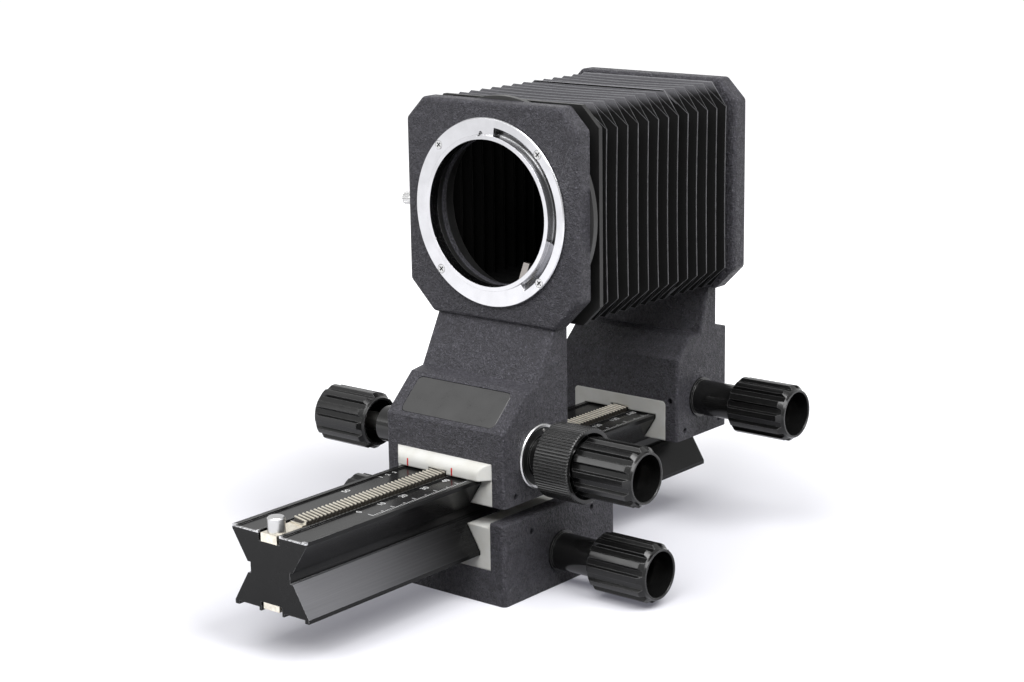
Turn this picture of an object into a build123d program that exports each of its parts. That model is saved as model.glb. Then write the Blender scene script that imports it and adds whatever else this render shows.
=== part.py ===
"""Macro bellows unit: two sliding standards on a geared rail, joined by a pleated bellows.

Frame: origin at the middle of the carriage's bottom face, +X to the side with the driving
knobs, +Y from the lens end to the camera end, +Z up. All sizes are in millimetres.
"""
from build123d import *
import os
from math import cos, pi, radians, sin, sqrt, tan

os.makedirs("parts", exist_ok=True)

# ------------------------------------------------------------------ fits and clearances
slide_gap = 0.15          # dovetail faces and other flat sliding pairs
running_gap = 0.05        # a shaft in its bore, on the radius
press_gap = 0.02          # a pressed or screwed-in piece, on the radius
air_gap = 0.3             # between neighbours that pass each other

# ------------------------------------------------------------------ rack and pinion teeth
normal_module = 0.51
tooth_slant = radians(14.0)
pressure_angle = radians(20.0)
pinion_teeth = 17
gear_backlash = 0.12
pinion_width = 6.0
dedendum_factor = 1.2
transverse_module = normal_module / cos(tooth_slant)
pitch_radius = transverse_module * pinion_teeth / 2
rack_pitch = pi * transverse_module
addendum = normal_module
dedendum = dedendum_factor * normal_module
pinion_tip_radius = pitch_radius + addendum

# ------------------------------------------------------------------ rail (double dovetail)
rail_length = 204.4
rail_front_reach = 107.0          # from the carriage's middle to the rail's front end
rail_axis_z = 28.3                # height of the rail's centre line above the carriage's foot
rail_half_width = 15.45
rail_face_height = 12.15          # from the centre line to the top face
rail_foot_depth = 11.4            # from the centre line to the bottom face
rail_rim_height = 0.5             # fine ribs along the top face
rail_lip_depth = 1.1              # fine ribs along the bottom face
rail_edge_height = 1.3            # upright edge between rib and flank
rail_rib_width = 1.6
groove_rib_width = 0.8
waist_half_width = 8.25
waist_step = 1.2                  # the flank stands this far out from the web
waist_top = 2.07
waist_bottom = -1.45
groove_half_width = 4.4
groove_floor = 9.55               # from the centre line, above and below
rail_front = -rail_front_reach
rail_rear = rail_front + rail_length

# ------------------------------------------------------------------ racks and stops
rack_half_width = 3.3
upper_rack_rise = 1.05            # pitch line above the rail's top face
lower_rack_rise = 1.03            # pitch line below the rail's bottom face
rack_block_gap = 0.9              # end blocks lie this far below the tooth tips' pitch line
upper_rack_plain_end = 11.5
lower_rack_plain_end = 16.0
stop_pin_radius = 2.75
stop_pin_height = 4.7
stop_pin_inset = 3.4
stop_pin_bevel = 0.4
stop_screw_inset = 12.0
stop_screw_head_radius = 2.5
stop_screw_head_height = 2.6
screw_shank_radius = 1.5
screw_shank_length = 5.0
upper_pitch_line = rail_face_height + upper_rack_rise
lower_pitch_line = rail_foot_depth + lower_rack_rise
upper_drive_height = upper_pitch_line + pitch_radius     # above the rail's centre line
lower_drive_depth = lower_pitch_line + pitch_radius      # below it
upper_drive_z = rail_axis_z + upper_drive_height
lower_drive_z = rail_axis_z - lower_drive_depth

# ------------------------------------------------------------------ carriage
carriage_length = 58.8
carriage_half_width = 25.6
carriage_height = 27.3
carriage_corner = 1.6
carriage_insert_top = 25.6
carriage_floor_z = 11.4           # bottom of the insert's pocket
tripod_thread_radius = 3.175
tripod_thread_length = 5.5
tripod_bush_radius = 6.5
tripod_bush_flange_radius = 9.5
tripod_bush_flange = 1.2

# ------------------------------------------------------------------ standards (shared)
standard_half_width = 24.8
insert_half_width = 19.85
insert_top = 18.1                 # above the rail's centre line
nose_reach = 3.5                  # the front liner's nose stands this far out over the rail
nose_upright = 14.2               # above this height over the rail's centre line the nose curves back
nose_side_cut = 3.0
nose_side_round = 2.0
standard_bottom = 4.0             # above the rail's centre line
insert_corner = 1.5
casting_round = 1.1
optical_height = 93.1             # above the rail's centre line
optical_z = rail_axis_z + optical_height
board_thickness = 6.1
board_top_cut = 7.2
board_bottom_cut = 10.0
board_corner_round = 2.0
board_edge_round = 1.4
grub_screw_radius = 1.0
grub_screw_recess = 1.2
grub_screw_length = standard_half_width - insert_half_width - grub_screw_recess - 0.05
carriage_grub_screw_gap = 0.85    # the carriage's screws stop this far from its liner
carriage_grub_screw_length = (carriage_half_width - insert_half_width - grub_screw_recess
                              - carriage_grub_screw_gap)

# ------------------------------------------------------------------ front standard
front_standard_place = 78.9       # from the rail's front end to the base's front face
front_base_front = rail_front + front_standard_place
front_base_depth = 33.7
front_step_height = 28.3          # top of the upright face above the rail's centre line
front_slope_run = 12.4
front_ledge_height = 40.0
front_ledge_run = 5.6
front_ledge_rise = 0.8
front_neck_lean = 8.8             # how far the neck leans back up to the board
front_neck_top = 57.4
front_board_half_width = 35.65
front_board_half_height = 35.8
front_board_front = front_base_front + 25.4
front_drive_y = front_base_front + 18.1
nameplate_width = 39.4
nameplate_height = 13.7
nameplate_corner = 2.0
nameplate_thickness = 0.6

# ------------------------------------------------------------------ lens side
throat_radius = 24.0
lens_ring_radius = 30.9
lens_ring_flange = 1.2
lens_lip_height = 2.4             # the inner lip stands this far out of the board
lens_lip_wall = 1.4
lens_groove_floor_width = 0.4
lens_groove_outer = 28.0          # radius where the hollowed side meets the flange's face
lens_groove_hollow = 0.3          # how far the side is hollowed below a straight slope
lens_groove_depth = 1.9
lens_groove_step = 0.75           # depth of the shallow part
lens_groove_start = 84.0          # degrees from +X, seen from the lens side
lens_groove_turn = -16.0          # here the deep part ends and the shallow one starts
lens_groove_end = -59.0
lens_spigot_wall = 3.3
lens_spigot_length = 1.5
lens_screw_circle = 29.1
lens_screw_head_radius = 1.4
lens_screw_head_height = 1.0
lens_screw_shank_radius = 0.85
lens_screw_length = 4.2
lens_screw_gap = 0.12             # round the heads, on the radius
index_pin_hole_radius = 0.8
aperture_ring_inner = 24.6
aperture_ring_outer = 27.4
aperture_ring_thickness = 1.8
aperture_pocket_depth = 4.4
aperture_lever_top = -15.4        # heights from the optical axis
aperture_lever_foot = -23.6
aperture_lever_left = 11.5        # its upper left corner, from the optical axis
aperture_lever_width = 2.4
aperture_lever_lean = 0.37        # it leans to the right by this much of its height
aperture_lever_thickness = 1.2
release_height = 0.7              # the release plunger's axis above the optical axis
plunger_radius = 0.9
plunger_tip = 29.1                # from the optical axis
plunger_tail = 35.3
release_tab_outer = 29.9
release_tab_low = -3.5
release_tab_high = 1.8
release_pocket_radius = 30.4
socket_radius = 2.1
socket_neck_radius = 1.8
socket_length = 3.8
socket_ribs = 16
socket_thread_radius = 1.5
retaining_disc_radius = 37.2
retaining_disc_thickness = 2.2
retaining_disc_hole = 26.0

# ------------------------------------------------------------------ bellows
bellows_half_width = 35.5
bellows_half_height = 35.6
bellows_pleats = 13
bellows_pleat_depth = 7.0
bellows_wall = 0.8
bellows_corner_cut = 6.8
frame_hole_radius = 27.0
front_frame_collar = 2.9
front_frame_collar_radius = 30.0
front_frame_plate = 1.7
rear_frame_plate = 0.8
bellows_start = front_board_front + board_thickness + retaining_disc_thickness \
    + front_frame_collar + front_frame_plate

# ------------------------------------------------------------------ rear standard
rear_base_depth = 30.6
rear_board_setback = 17.2         # the board stands this far behind the base's front face
rear_base_front = rail_rear - rear_base_depth
rear_board_front = rear_base_front + rear_board_setback
bellows_end = rear_board_front - rear_frame_plate
bellows_length = bellows_end - bellows_start
rear_step_height = 33.5
rear_slope_run = 7.5
rear_ledge_height = 40.35
rear_ledge_run = 6.35
rear_neck_lean = 4.85
rear_neck_top = 57.2
rear_neck_rear = 24.2             # from the base's front face
rear_board_half_width = 36.6
rear_board_half_height = 36.7
rear_drive_y = rear_base_front + 14.4
rear_throat_radius = 26.0
turntable_radius = 33.0
turntable_flange = 3.0
turntable_bore = 21.5
turntable_notches = 36
retainer_radius = 26.9
retainer_thickness = 1.2
camera_flange_radius = 30.9
camera_flange = 1.7
camera_tube_radius = 23.4
camera_tube_length = 6.3
camera_lug_radius = 26.0
camera_lug_length = 2.0
camera_lug_sweep = 50.0
camera_screw_circle = 28.3
turn_lock_head_radius = 4.6
turn_lock_head_length = 5.0
turn_lock_shank_radius = 1.5

# ------------------------------------------------------------------ drives and knobs
shaft_radius = 3.0
sleeve_seat_radius = 4.1          # the sleeve inside the casting
sleeve_radius = 6.15              # the sleeve outside the casting
sleeve_flange_radius = 7.0
sleeve_flange = 0.8
sleeve_inner_end = 6.0            # from the rail's middle plane
pinion_chamber_radius = 5.4
pinion_chamber_half = 4.2
shaft_left_end = -11.8
knob_radius = 9.75
knob_length = 22.8
knob_flutes = 12
knob_flute_depth = 1.15
knob_flute_width = 1.7            # at its floor
knob_flute_flare = 0.75           # each side leans out by this much
knob_rim_radius = 8.5             # just inside the flutes' floor
knob_rim_width = 0.9              # smooth rim at the hollow end
knob_rim_slope = 1.5              # length of the cone between the ribs and the rim
knob_hollow_radius = 7.45
knob_hollow_depth = 12.0
knob_inner_bevel = 1.1
knob_rear_end = 64.5              # outer end of the rear driving knob
knob_carriage_end = 65.2          # outer end of the carriage's driving knob
knob_front_end = 67.3             # outer end of the front driving knob
lock_knob_end = 67.2
sleeve_knob_gap = 0.3
sleeve_outer_end = knob_rear_end - knob_length - sleeve_knob_gap
knob_screw_head_radius = 4.0
knob_screw_head_height = 1.8
knob_screw_shank_radius = 1.6
knob_screw_shank_length = 7.0
friction_ring_radius = 12.3
friction_ring_start = 32.0
friction_ring_end = 45.2
friction_ring_teeth = 72
friction_ring_tooth = 0.45
friction_ring_web = 6.0
friction_ring_recess_radius = 10.7
seat_ring_radius = 10.6
seat_ring_wall = 1.1
seat_ring_height = 1.1
seat_plate_height = 0.7
seat_screw_circle = 8.4
seat_screw_radius = 0.55


# ================================================================== plain shapes
def block(x0, x1, y0, y1, z0, z1):
    """A box between two corners."""
    middle = ((x0 + x1) / 2, (y0 + y1) / 2, (z0 + z1) / 2)
    return Pos(*middle) * Box(abs(x1 - x0), abs(y1 - y0), abs(z1 - z0))


def rod_x(radius, x0, x1, y, z):
    """A cylinder along X."""
    return Pos((x0 + x1) / 2, y, z) * Rot(0, 90, 0) * Cylinder(radius, abs(x1 - x0))


def rod_y(radius, y0, y1, x=0.0, z=optical_z):
    """A cylinder along Y, by default on the optical axis."""
    return Pos(x, (y0 + y1) / 2, z) * Rot(90, 0, 0) * Cylinder(radius, abs(y1 - y0))


def rod_z(radius, z0, z1, x, y):
    """An upright cylinder."""
    return Pos(x, y, (z0 + z1) / 2) * Cylinder(radius, abs(z1 - z0))


def pipe_y(outer, inner, y0, y1):
    """A ring round the optical axis."""
    return rod_y(outer, y0, y1) - rod_y(inner, y0, y1)


def side_face(points, x):
    """A face in the plane of one X, from (y, z) points."""
    return Plane(origin=(x, 0, 0), x_dir=(0, 1, 0), z_dir=(1, 0, 0)) \
        * make_face(Polyline(*points, close=True))


def front_face(points, y):
    """A face in the plane of one Y, from (x, z) points, looking towards -Y."""
    return Plane(origin=(0, y, 0), x_dir=(1, 0, 0), z_dir=(0, -1, 0)) \
        * make_face(Polyline(*points, close=True))


def prism_x(points, x0, x1):
    """A (y, z) outline pushed along X."""
    return extrude(side_face(points, x0), amount=x1 - x0)


def prism_y(points, y0, y1):
    """An (x, z) outline pushed along Y."""
    return extrude(front_face(points, y1), amount=y1 - y0)


def one(shape):
    """The single solid of a boolean's result."""
    return shape.solids()[0]


def turned_about_optical_axis(shape, angle):
    """The shape turned about the optical axis, in degrees, seen from the lens side."""
    return Pos(0, 0, optical_z) * Rot(0, -angle, 0) * Pos(0, 0, -optical_z) * shape


def octagon(half_width, half_height, top_cut, bottom_cut, z=optical_z):
    """Corner points (x, z) of a rectangle with cut corners."""
    w, h = half_width, half_height
    right = [(w - bottom_cut, z - h), (w, z - h + bottom_cut),
             (w, z + h - top_cut), (w - top_cut, z + h)]
    return right + [(-x, height) for x, height in reversed(right)]


# ================================================================== rail and racks
def rail_outline():
    """Right-hand outline of the rail from top to bottom, in (x, height over its centre)."""
    top, foot = rail_face_height, -rail_foot_depth
    rim, lip = top + rail_rim_height, foot - rail_lip_depth
    inner_rib, outer_rib = groove_half_width + groove_rib_width, rail_half_width - rail_rib_width
    flank_in = waist_half_width + waist_step
    return [(groove_half_width, groove_floor), (groove_half_width, rim), (inner_rib, rim),
            (inner_rib, top), (outer_rib, top), (outer_rib, rim), (rail_half_width, rim),
            (rail_half_width, rim - rail_edge_height), (flank_in, waist_top),
            (waist_half_width, waist_top), (waist_half_width, waist_bottom),
            (flank_in, waist_bottom), (rail_half_width, lip + rail_edge_height),
            (rail_half_width, lip), (outer_rib, lip), (outer_rib, foot), (inner_rib, foot),
            (inner_rib, lip), (groove_half_width, lip), (groove_half_width, -groove_floor)]


def flank_x(height):
    """Half-width of the rail's dovetail flank at a height over its centre line."""
    flank_in = waist_half_width + waist_step
    if height > 0:
        end = rail_face_height + rail_rim_height - rail_edge_height
        share = (height - waist_top) / (end - waist_top)
    else:
        end = -rail_foot_depth - rail_lip_depth + rail_edge_height
        share = (height - waist_bottom) / (end - waist_bottom)
    return flank_in + (rail_half_width - flank_in) * share


def make_rail():
    """The double dovetail bar with its two rack grooves and screw holes."""
    right = [(x, rail_axis_z + z) for x, z in rail_outline()]
    outline = right + [(-x, z) for x, z in reversed(right)]
    rail = prism_y(outline, rail_front, rail_rear)
    hole = screw_shank_radius + press_gap
    for y in stop_pin_places():
        rail -= rod_z(hole, rail_axis_z + groove_floor - screw_shank_length,
                      rail_axis_z + groove_floor + 1, 0, y)
    for y in stop_screw_places():
        rail -= rod_z(hole, rail_axis_z - groove_floor - 1,
                      rail_axis_z - groove_floor + screw_shank_length, 0, y)
    return one(rail)


def stop_pin_places():
    """Y of the two stop pins on top of the rail."""
    return [rail_front + stop_pin_inset, rail_rear - stop_pin_inset]


def stop_screw_places():
    """Y of the two stop screws under the rail."""
    return [rail_front + stop_screw_inset, rail_rear - stop_screw_inset]


def rack_outline(plain_end, floor, pitch_line, first_gap):
    """Side outline of a rack (y, height), teeth up; a tooth gap lies at first_gap."""
    root, tip = pitch_line - dedendum, pitch_line + addendum
    block_top = pitch_line - rack_block_gap
    start, end = rail_front + plain_end, rail_rear - plain_end
    half_tooth = rack_pitch / 4 - gear_backlash / 4
    lean = tan(pressure_angle)
    points = [(rail_front, floor), (rail_front, block_top), (start, block_top), (start, root)]
    count = int((end - start) / rack_pitch) - 1
    offset = (first_gap - start) % rack_pitch + rack_pitch / 2
    for i in range(count):
        middle = start + offset + i * rack_pitch
        if middle + rack_pitch / 2 > end:
            break
        points += [(middle - half_tooth - dedendum * lean, root),
                   (middle - half_tooth + addendum * lean, tip),
                   (middle + half_tooth - addendum * lean, tip),
                   (middle + half_tooth + dedendum * lean, root)]
    return points + [(end, root), (end, block_top), (rail_rear, block_top), (rail_rear, floor)]


def make_rack(plain_end, pitch_line, gap_y, upward):
    """A rack with slanted teeth in the rail's upper or lower groove."""
    margin = 3.0
    slope = tan(tooth_slant)
    outline = rack_outline(plain_end, groove_floor, pitch_line, gap_y)
    first, last = outline[0], outline[-1]
    outline = [(first[0] - margin, first[1]), (first[0] - margin, outline[1][1])] + outline[2:-2] \
        + [(last[0] + margin, outline[-2][1]), (last[0] + margin, last[1])]
    side = 1 if upward else -1
    points = [(y + slope * rack_half_width, rail_axis_z + side * z) for y, z in outline]
    length = 2 * rack_half_width * sqrt(1 + slope ** 2)
    bar = extrude(side_face(points, -rack_half_width), amount=length, dir=(1, -slope, 0))
    reach = pitch_line + addendum + 1
    low, high = sorted((rail_axis_z + side * groove_floor, rail_axis_z + side * reach))
    bar = bar & block(-rack_half_width, rack_half_width, rail_front, rail_rear, low, high)
    places = stop_pin_places() if upward else stop_screw_places()
    for y in places:
        bar -= rod_z(screw_shank_radius + press_gap, low - 1, high + 1, 0, y)
    return one(bar)


def make_stop_pins():
    """Two pins that hold the upper rack and stop the standards."""
    seat = rail_axis_z + upper_pitch_line - rack_block_gap
    pins = []
    for y in stop_pin_places():
        head = rod_z(stop_pin_radius, seat, seat + stop_pin_height, 0, y)
        head = chamfer(head.edges().group_by(Axis.Z)[-1], stop_pin_bevel)
        shank = rod_z(screw_shank_radius, rail_axis_z + groove_floor - screw_shank_length + 0.2, seat, 0, y)
        pins.append(one(head + shank))
    return Compound(children=pins)


def make_rack_stop_screws():
    """Two screws that hold the lower rack; their heads stop the rail in the carriage."""
    seat = rail_axis_z - lower_pitch_line + rack_block_gap
    screws = []
    for y in stop_screw_places():
        head = rod_z(stop_screw_head_radius, seat - stop_screw_head_height, seat, 0, y)
        slot = block(-stop_screw_head_radius, stop_screw_head_radius, y - 0.35, y + 0.35,
                     seat - stop_screw_head_height, seat - stop_screw_head_height + 0.8)
        shank = rod_z(screw_shank_radius, seat, rail_axis_z - groove_floor + screw_shank_length - 0.2, 0, y)
        screws.append(one(head - slot + shank))
    return Compound(children=screws)


# ================================================================== carriage
def make_carriage_housing():
    """The block with the tripod socket that carries the rail."""
    half = carriage_length / 2
    body = block(-carriage_half_width, carriage_half_width, -half, half, 0, carriage_height)
    body = fillet(body.edges().filter_by(Axis.Z), carriage_corner)
    body = fillet(body.edges().group_by(Axis.Z)[-1], carriage_corner / 2)
    pocket = insert_half_width + press_gap
    body -= block(-pocket, pocket, -half - 1, half + 1, carriage_floor_z, carriage_height + 1)
    body -= drive_bore(0.0, lower_drive_z, carriage_half_width)
    body -= rod_z(tripod_bush_radius + press_gap, -1, tripod_thread_length, 0, 0)
    body -= rod_z(tripod_bush_flange_radius + press_gap, -1, tripod_bush_flange, 0, 0)
    for solid in grub_hole_tools(carriage_half_width, carriage_grub_places()):
        body -= solid
    return one(body)


def make_carriage_insert():
    """The nylon liner with the lower dovetail."""
    half = carriage_length / 2
    top = carriage_insert_top - rail_axis_z
    roof = -rail_foot_depth - rail_lip_depth - slide_gap
    edge = roof + slide_gap + rail_edge_height
    channel = -lower_pitch_line - addendum - air_gap
    gap = slide_gap * 1.2
    channel_half = rack_half_width + 0.5
    right = [(channel_half, channel), (channel_half, roof), (rail_half_width + gap, roof),
             (rail_half_width + gap, edge), (flank_x(top) + gap, top), (insert_half_width, top),
             (insert_half_width, carriage_floor_z - rail_axis_z)]
    points = [(x, rail_axis_z + z) for x, z in right]
    insert = prism_y(points + [(-x, z) for x, z in reversed(points)], -half, half)
    insert -= drive_bore(0.0, lower_drive_z, carriage_half_width)
    return one(insert)


def make_tripod_bush():
    """The threaded steel bush in the carriage's foot."""
    bush = rod_z(tripod_bush_radius, 0, tripod_thread_length - 0.1, 0, 0)
    bush += rod_z(tripod_bush_flange_radius, 0, tripod_bush_flange - 0.05, 0, 0)
    bush -= rod_z(tripod_thread_radius, -1, tripod_thread_length + 1, 0, 0)
    return one(bush)


def carriage_grub_places():
    """(y, z) of the carriage's adjusting screws."""
    return [(-15.3, 22.1), (16.4, 22.1)]


# ================================================================== shared standard pieces
def grub_hole_tools(half_width, places):
    """Cutters for the adjusting screws in a right-hand side wall."""
    radius = grub_screw_radius + press_gap
    return [rod_x(radius, insert_half_width - 0.05, half_width + 1, y, z) for y, z in places]


def make_grub_screws(half_width, places, length=grub_screw_length):
    """Small slotted screws that set the play of the nylon liner."""
    screws = []
    for y, z in places:
        outer = half_width - grub_screw_recess
        screw = rod_x(grub_screw_radius, outer - length, outer, y, z)
        screw -= block(outer - 0.5, outer + 1, y - 0.18, y + 0.18, z - 2, z + 2)
        screws.append(one(screw))
    return Compound(children=screws)


def drive_bore(y, z, half_width):
    """Cutter for a drive: two sleeve seats and the pinion's chamber between them."""
    tool = rod_x(sleeve_seat_radius + press_gap, -half_width - 1, half_width + 1, y, z)
    return tool + rod_x(pinion_chamber_radius, -pinion_chamber_half, pinion_chamber_half, y, z)


def insert_window(y0, y1):
    """Cutter for the opening that holds a standard's nylon liner."""
    w, top = insert_half_width + press_gap, rail_axis_z + insert_top + press_gap
    bottom = rail_axis_z + standard_bottom - 1
    tool = block(-w, w, y0 - 1, y1 + 1, bottom, top)
    return fillet(tool.edges().filter_by(Axis.Y).group_by(Axis.Z)[-1], insert_corner)


def make_standard_insert(y0, y1, drive_y):
    """The nylon liner with the upper dovetail and the channel for the rack."""
    bottom, roof = standard_bottom, rail_face_height + rail_rim_height + slide_gap
    edge = roof - slide_gap - rail_edge_height
    gap = slide_gap * 1.2
    channel = upper_pitch_line + addendum + air_gap
    channel_half = rack_half_width + 0.5
    outer = block(-insert_half_width, insert_half_width, y0, y1,
                  rail_axis_z + bottom, rail_axis_z + insert_top)
    outer = fillet(outer.edges().filter_by(Axis.Y).group_by(Axis.Z)[-1], insert_corner)
    right = [(channel_half, channel), (channel_half, roof), (rail_half_width + gap, roof),
             (rail_half_width + gap, edge), (flank_x(bottom) + gap, bottom),
             (flank_x(bottom) + gap, bottom - 1)]
    points = [(x, rail_axis_z + z) for x, z in right]
    outer -= prism_y(points + [(-x, z) for x, z in reversed(points)], y0 - 1, y1 + 1)
    outer -= drive_bore(drive_y, upper_drive_z, standard_half_width)
    return outer


def make_front_insert():
    """The front liner, with a nose over the rail that carries the index marks."""
    f = front_base_front
    w, c = insert_half_width, nose_side_cut
    roof = rail_face_height + rail_rim_height + slide_gap
    tip, high = f - nose_reach, insert_top
    lowest, bend = rail_axis_z + roof, rail_axis_z + nose_upright
    top = rail_axis_z + high
    curve = EllipticalCenterArc((f, bend), nose_reach, top - bend, start_angle=90, arc_size=90)
    rest = Polyline((tip, bend), (tip, lowest), (f + 1, lowest), (f + 1, top), (f, top))
    side = Plane(origin=(-w, 0, 0), x_dir=(0, 1, 0), z_dir=(1, 0, 0)) * make_face(curve + rest)
    nose = extrude(side, amount=2 * w)
    plan = [(-w, f + 1), (-w, f), (c - w, tip), (w - c, tip), (w, f), (w, f + 1)]
    outline = Plane(origin=(0, 0, lowest)) * make_face(Polyline(*plan, close=True))
    outline = fillet(outline.vertices().group_by(Axis.Y)[0], nose_side_round)
    nose &= extrude(outline, amount=insert_top)
    half, channel = rack_half_width + 0.5, rail_axis_z + upper_pitch_line + addendum + air_gap
    nose -= block(-half, half, tip - 1, f + 2, lowest - 1, channel)
    insert = make_standard_insert(f, f + front_base_depth, front_drive_y)
    cut = insert_window(f, f + front_base_depth)
    nose = nose & (cut + block(-w, w, tip - 1, f, lowest - 1, rail_axis_z + insert_top))
    return one(insert + nose)


def rounded_casting_base(profile):
    """A side profile pushed across the standard, with its outer edges rounded."""
    w = standard_half_width
    points = [(y, rail_axis_z + z) for y, z in profile]
    body = prism_x(points, -w, w)
    front = body.edges().filter_by(lambda e: abs(abs(e.center().X) - w) < 0.01)
    upper = front.filter_by(lambda e: e.center().Z > points[0][1] + 1)
    return fillet(upper, casting_round)


def make_board(half_width, half_height, bottom_cut, y0):
    """An octagonal lens or camera board with rounded corners and front edge."""
    face = front_face(octagon(half_width, half_height, board_top_cut, bottom_cut), y0 + board_thickness)
    face = fillet(face.vertices(), board_corner_round)
    board = extrude(face, amount=board_thickness)
    return fillet(board.edges().group_by(Axis.Y)[0], board_edge_round)


# ================================================================== front standard
def slope_plane():
    """The plane of the nameplate's slope, origin at the slope's middle."""
    rise = front_ledge_height - front_step_height
    y = front_base_front + front_slope_run / 2
    z = rail_axis_z + front_step_height + rise / 2
    return Plane(origin=(0, y, z), x_dir=(1, 0, 0), z_dir=(0, -rise, front_slope_run))


def front_grub_places():
    """(y, z) of the front standard's adjusting screws."""
    return [(front_base_front + 5.9, rail_axis_z + 6.9),
            (front_base_front + 27.6, rail_axis_z + 6.9)]


def make_front_casting():
    """Base, leaning neck and lens board in one casting."""
    f = front_base_front
    back = f + front_base_depth
    profile = [(f, standard_bottom), (f, front_step_height),
               (f + front_slope_run, front_ledge_height),
               (f + front_slope_run + front_ledge_run, front_ledge_height + front_ledge_rise),
               (f + front_slope_run + front_ledge_run + front_neck_lean, front_neck_top),
               (f + front_slope_run + front_ledge_run + front_neck_lean, front_neck_top + 2),
               (back, front_neck_top + 2), (back, standard_bottom)]
    body = rounded_casting_base(profile)
    board_back = front_board_front + board_thickness
    body -= block(-front_board_half_width, front_board_half_width, board_back, back + 1,
                  rail_axis_z + front_neck_top, optical_z)
    body += make_board(front_board_half_width, front_board_half_height, board_bottom_cut,
                       front_board_front)
    body -= rod_y(retaining_disc_radius + press_gap, board_back, back + 1)
    body -= insert_window(f, back)
    body -= drive_bore(front_drive_y, upper_drive_z, standard_half_width)
    body -= rod_y(aperture_ring_outer + 0.4, front_board_front - 1,
                  front_board_front + aperture_pocket_depth)
    body -= rod_y(throat_radius + 0.3, front_board_front - 1, board_back + 1)
    pocket_end = front_board_front + aperture_pocket_depth
    tab_pocket = block(-release_pocket_radius - 1, -throat_radius - 2, front_board_front - 1,
                       pocket_end, optical_z + 2 * release_tab_low - 1.6,
                       optical_z + release_tab_high + 0.8)
    body -= tab_pocket & rod_y(release_pocket_radius, front_board_front - 1, pocket_end)
    body -= rod_x(plunger_radius + running_gap, -front_board_half_width, -throat_radius - 2,
                  release_y(), optical_z + release_height)
    body -= rod_x(socket_neck_radius + press_gap, -front_board_half_width - 1,
                  -front_board_half_width + 1.2, release_y(), optical_z + release_height)
    for angle in (45, 135, 225, 315):
        body -= turned_about_optical_axis(lens_screw_shank(press_gap), angle)
    recess = slope_plane() * extrude(RectangleRounded(
        nameplate_width + 0.3, nameplate_height + 0.3, nameplate_corner + 0.15),
        amount=-nameplate_thickness)
    body -= recess
    for tool in grub_hole_tools(standard_half_width, front_grub_places()):
        body -= tool
    return one(body)


def make_nameplate():
    """The blank plate on the slope."""
    face = RectangleRounded(nameplate_width, nameplate_height, nameplate_corner)
    plate = extrude(face, amount=nameplate_thickness)
    plate = chamfer(plate.edges().group_by(Axis.Z)[-1], 0.15)
    return slope_plane() * Pos(0, 0, -nameplate_thickness) * plate


def release_y():
    """Y of the cable release's axis."""
    return front_board_front + aperture_pocket_depth - aperture_ring_thickness / 2 - 0.15


def lens_screw_shank(gap):
    """One mount screw's shank at the +X end of its circle, grown by a gap."""
    seat = front_board_front - lens_ring_flange + lens_screw_head_height
    return rod_y(lens_screw_shank_radius + gap, seat, seat + lens_screw_length, lens_screw_circle)


def make_lens_ring():
    """The chromed bayonet ring: outer flange, groove on the right, and inner lip."""
    board = front_board_front
    ring = rod_y(lens_ring_radius, board - lens_ring_flange, board)
    ring = chamfer(ring.edges().group_by(Axis.Y)[0], 0.3)
    ring += rod_y(throat_radius + lens_lip_wall, board - lens_lip_height, board)
    ring += rod_y(throat_radius + lens_spigot_wall, board, board + lens_spigot_length)
    ring -= lens_groove(lens_groove_depth, lens_groove_start, lens_groove_turn)
    ring -= lens_groove(lens_groove_step, lens_groove_turn, lens_groove_end)
    ring -= rod_y(throat_radius, board - 5, board + 5)
    for angle in (45, 135, 225, 315):
        ring -= turned_about_optical_axis(lens_screw_shank(press_gap), angle)
        ring -= turned_about_optical_axis(lens_screw_head(lens_screw_gap), angle)
    inner = throat_radius + lens_lip_wall
    hole = rod_y(index_pin_hole_radius, board - 5, board, -2.6, optical_z + inner + 0.2)
    return one(ring - hole)


def lens_groove(depth, start, end):
    """A piece of the groove between two angles, with a hollowed outer side."""
    inner = throat_radius + lens_lip_wall
    front = front_board_front - lens_ring_flange
    over = 0.6
    foot = inner + lens_groove_floor_width
    side = ThreePointArc((foot, front + depth),
                         ((foot + lens_groove_outer) / 2, front + depth / 2 + lens_groove_hollow * depth / 2),
                         (lens_groove_outer, front))
    rest = Polyline((lens_groove_outer, front), (lens_groove_outer, front - over), (inner, front - over),
                    (inner, front + depth), (foot, front + depth))
    outline = Plane.XY * make_face(side + rest)
    arc = revolve(outline, Axis.Y, revolution_arc=start - end)
    return turned_about_optical_axis(Pos(0, 0, optical_z) * arc, start)


def lens_screw_head(gap):
    """One mount screw's head at the +X end of its circle, grown by a gap."""
    front = front_board_front - lens_ring_flange
    return rod_y(lens_screw_head_radius + gap, front, front + lens_screw_head_height, lens_screw_circle)


def make_lens_ring_screws():
    """Four cross-head screws of the bayonet ring."""
    front = front_board_front - lens_ring_flange
    screw = lens_screw_head(0) + lens_screw_shank(0)
    arm, half = 1.0, 0.2
    x, z = lens_screw_circle, optical_z
    screw -= block(x - arm, x + arm, front - 1, front + 0.5, z - half, z + half)
    screw -= block(x - half, x + half, front - 1, front + 0.5, z - arm, z + arm)
    return Compound(children=[one(turned_about_optical_axis(screw, a)) for a in (45, 135, 225, 315)])


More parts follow.
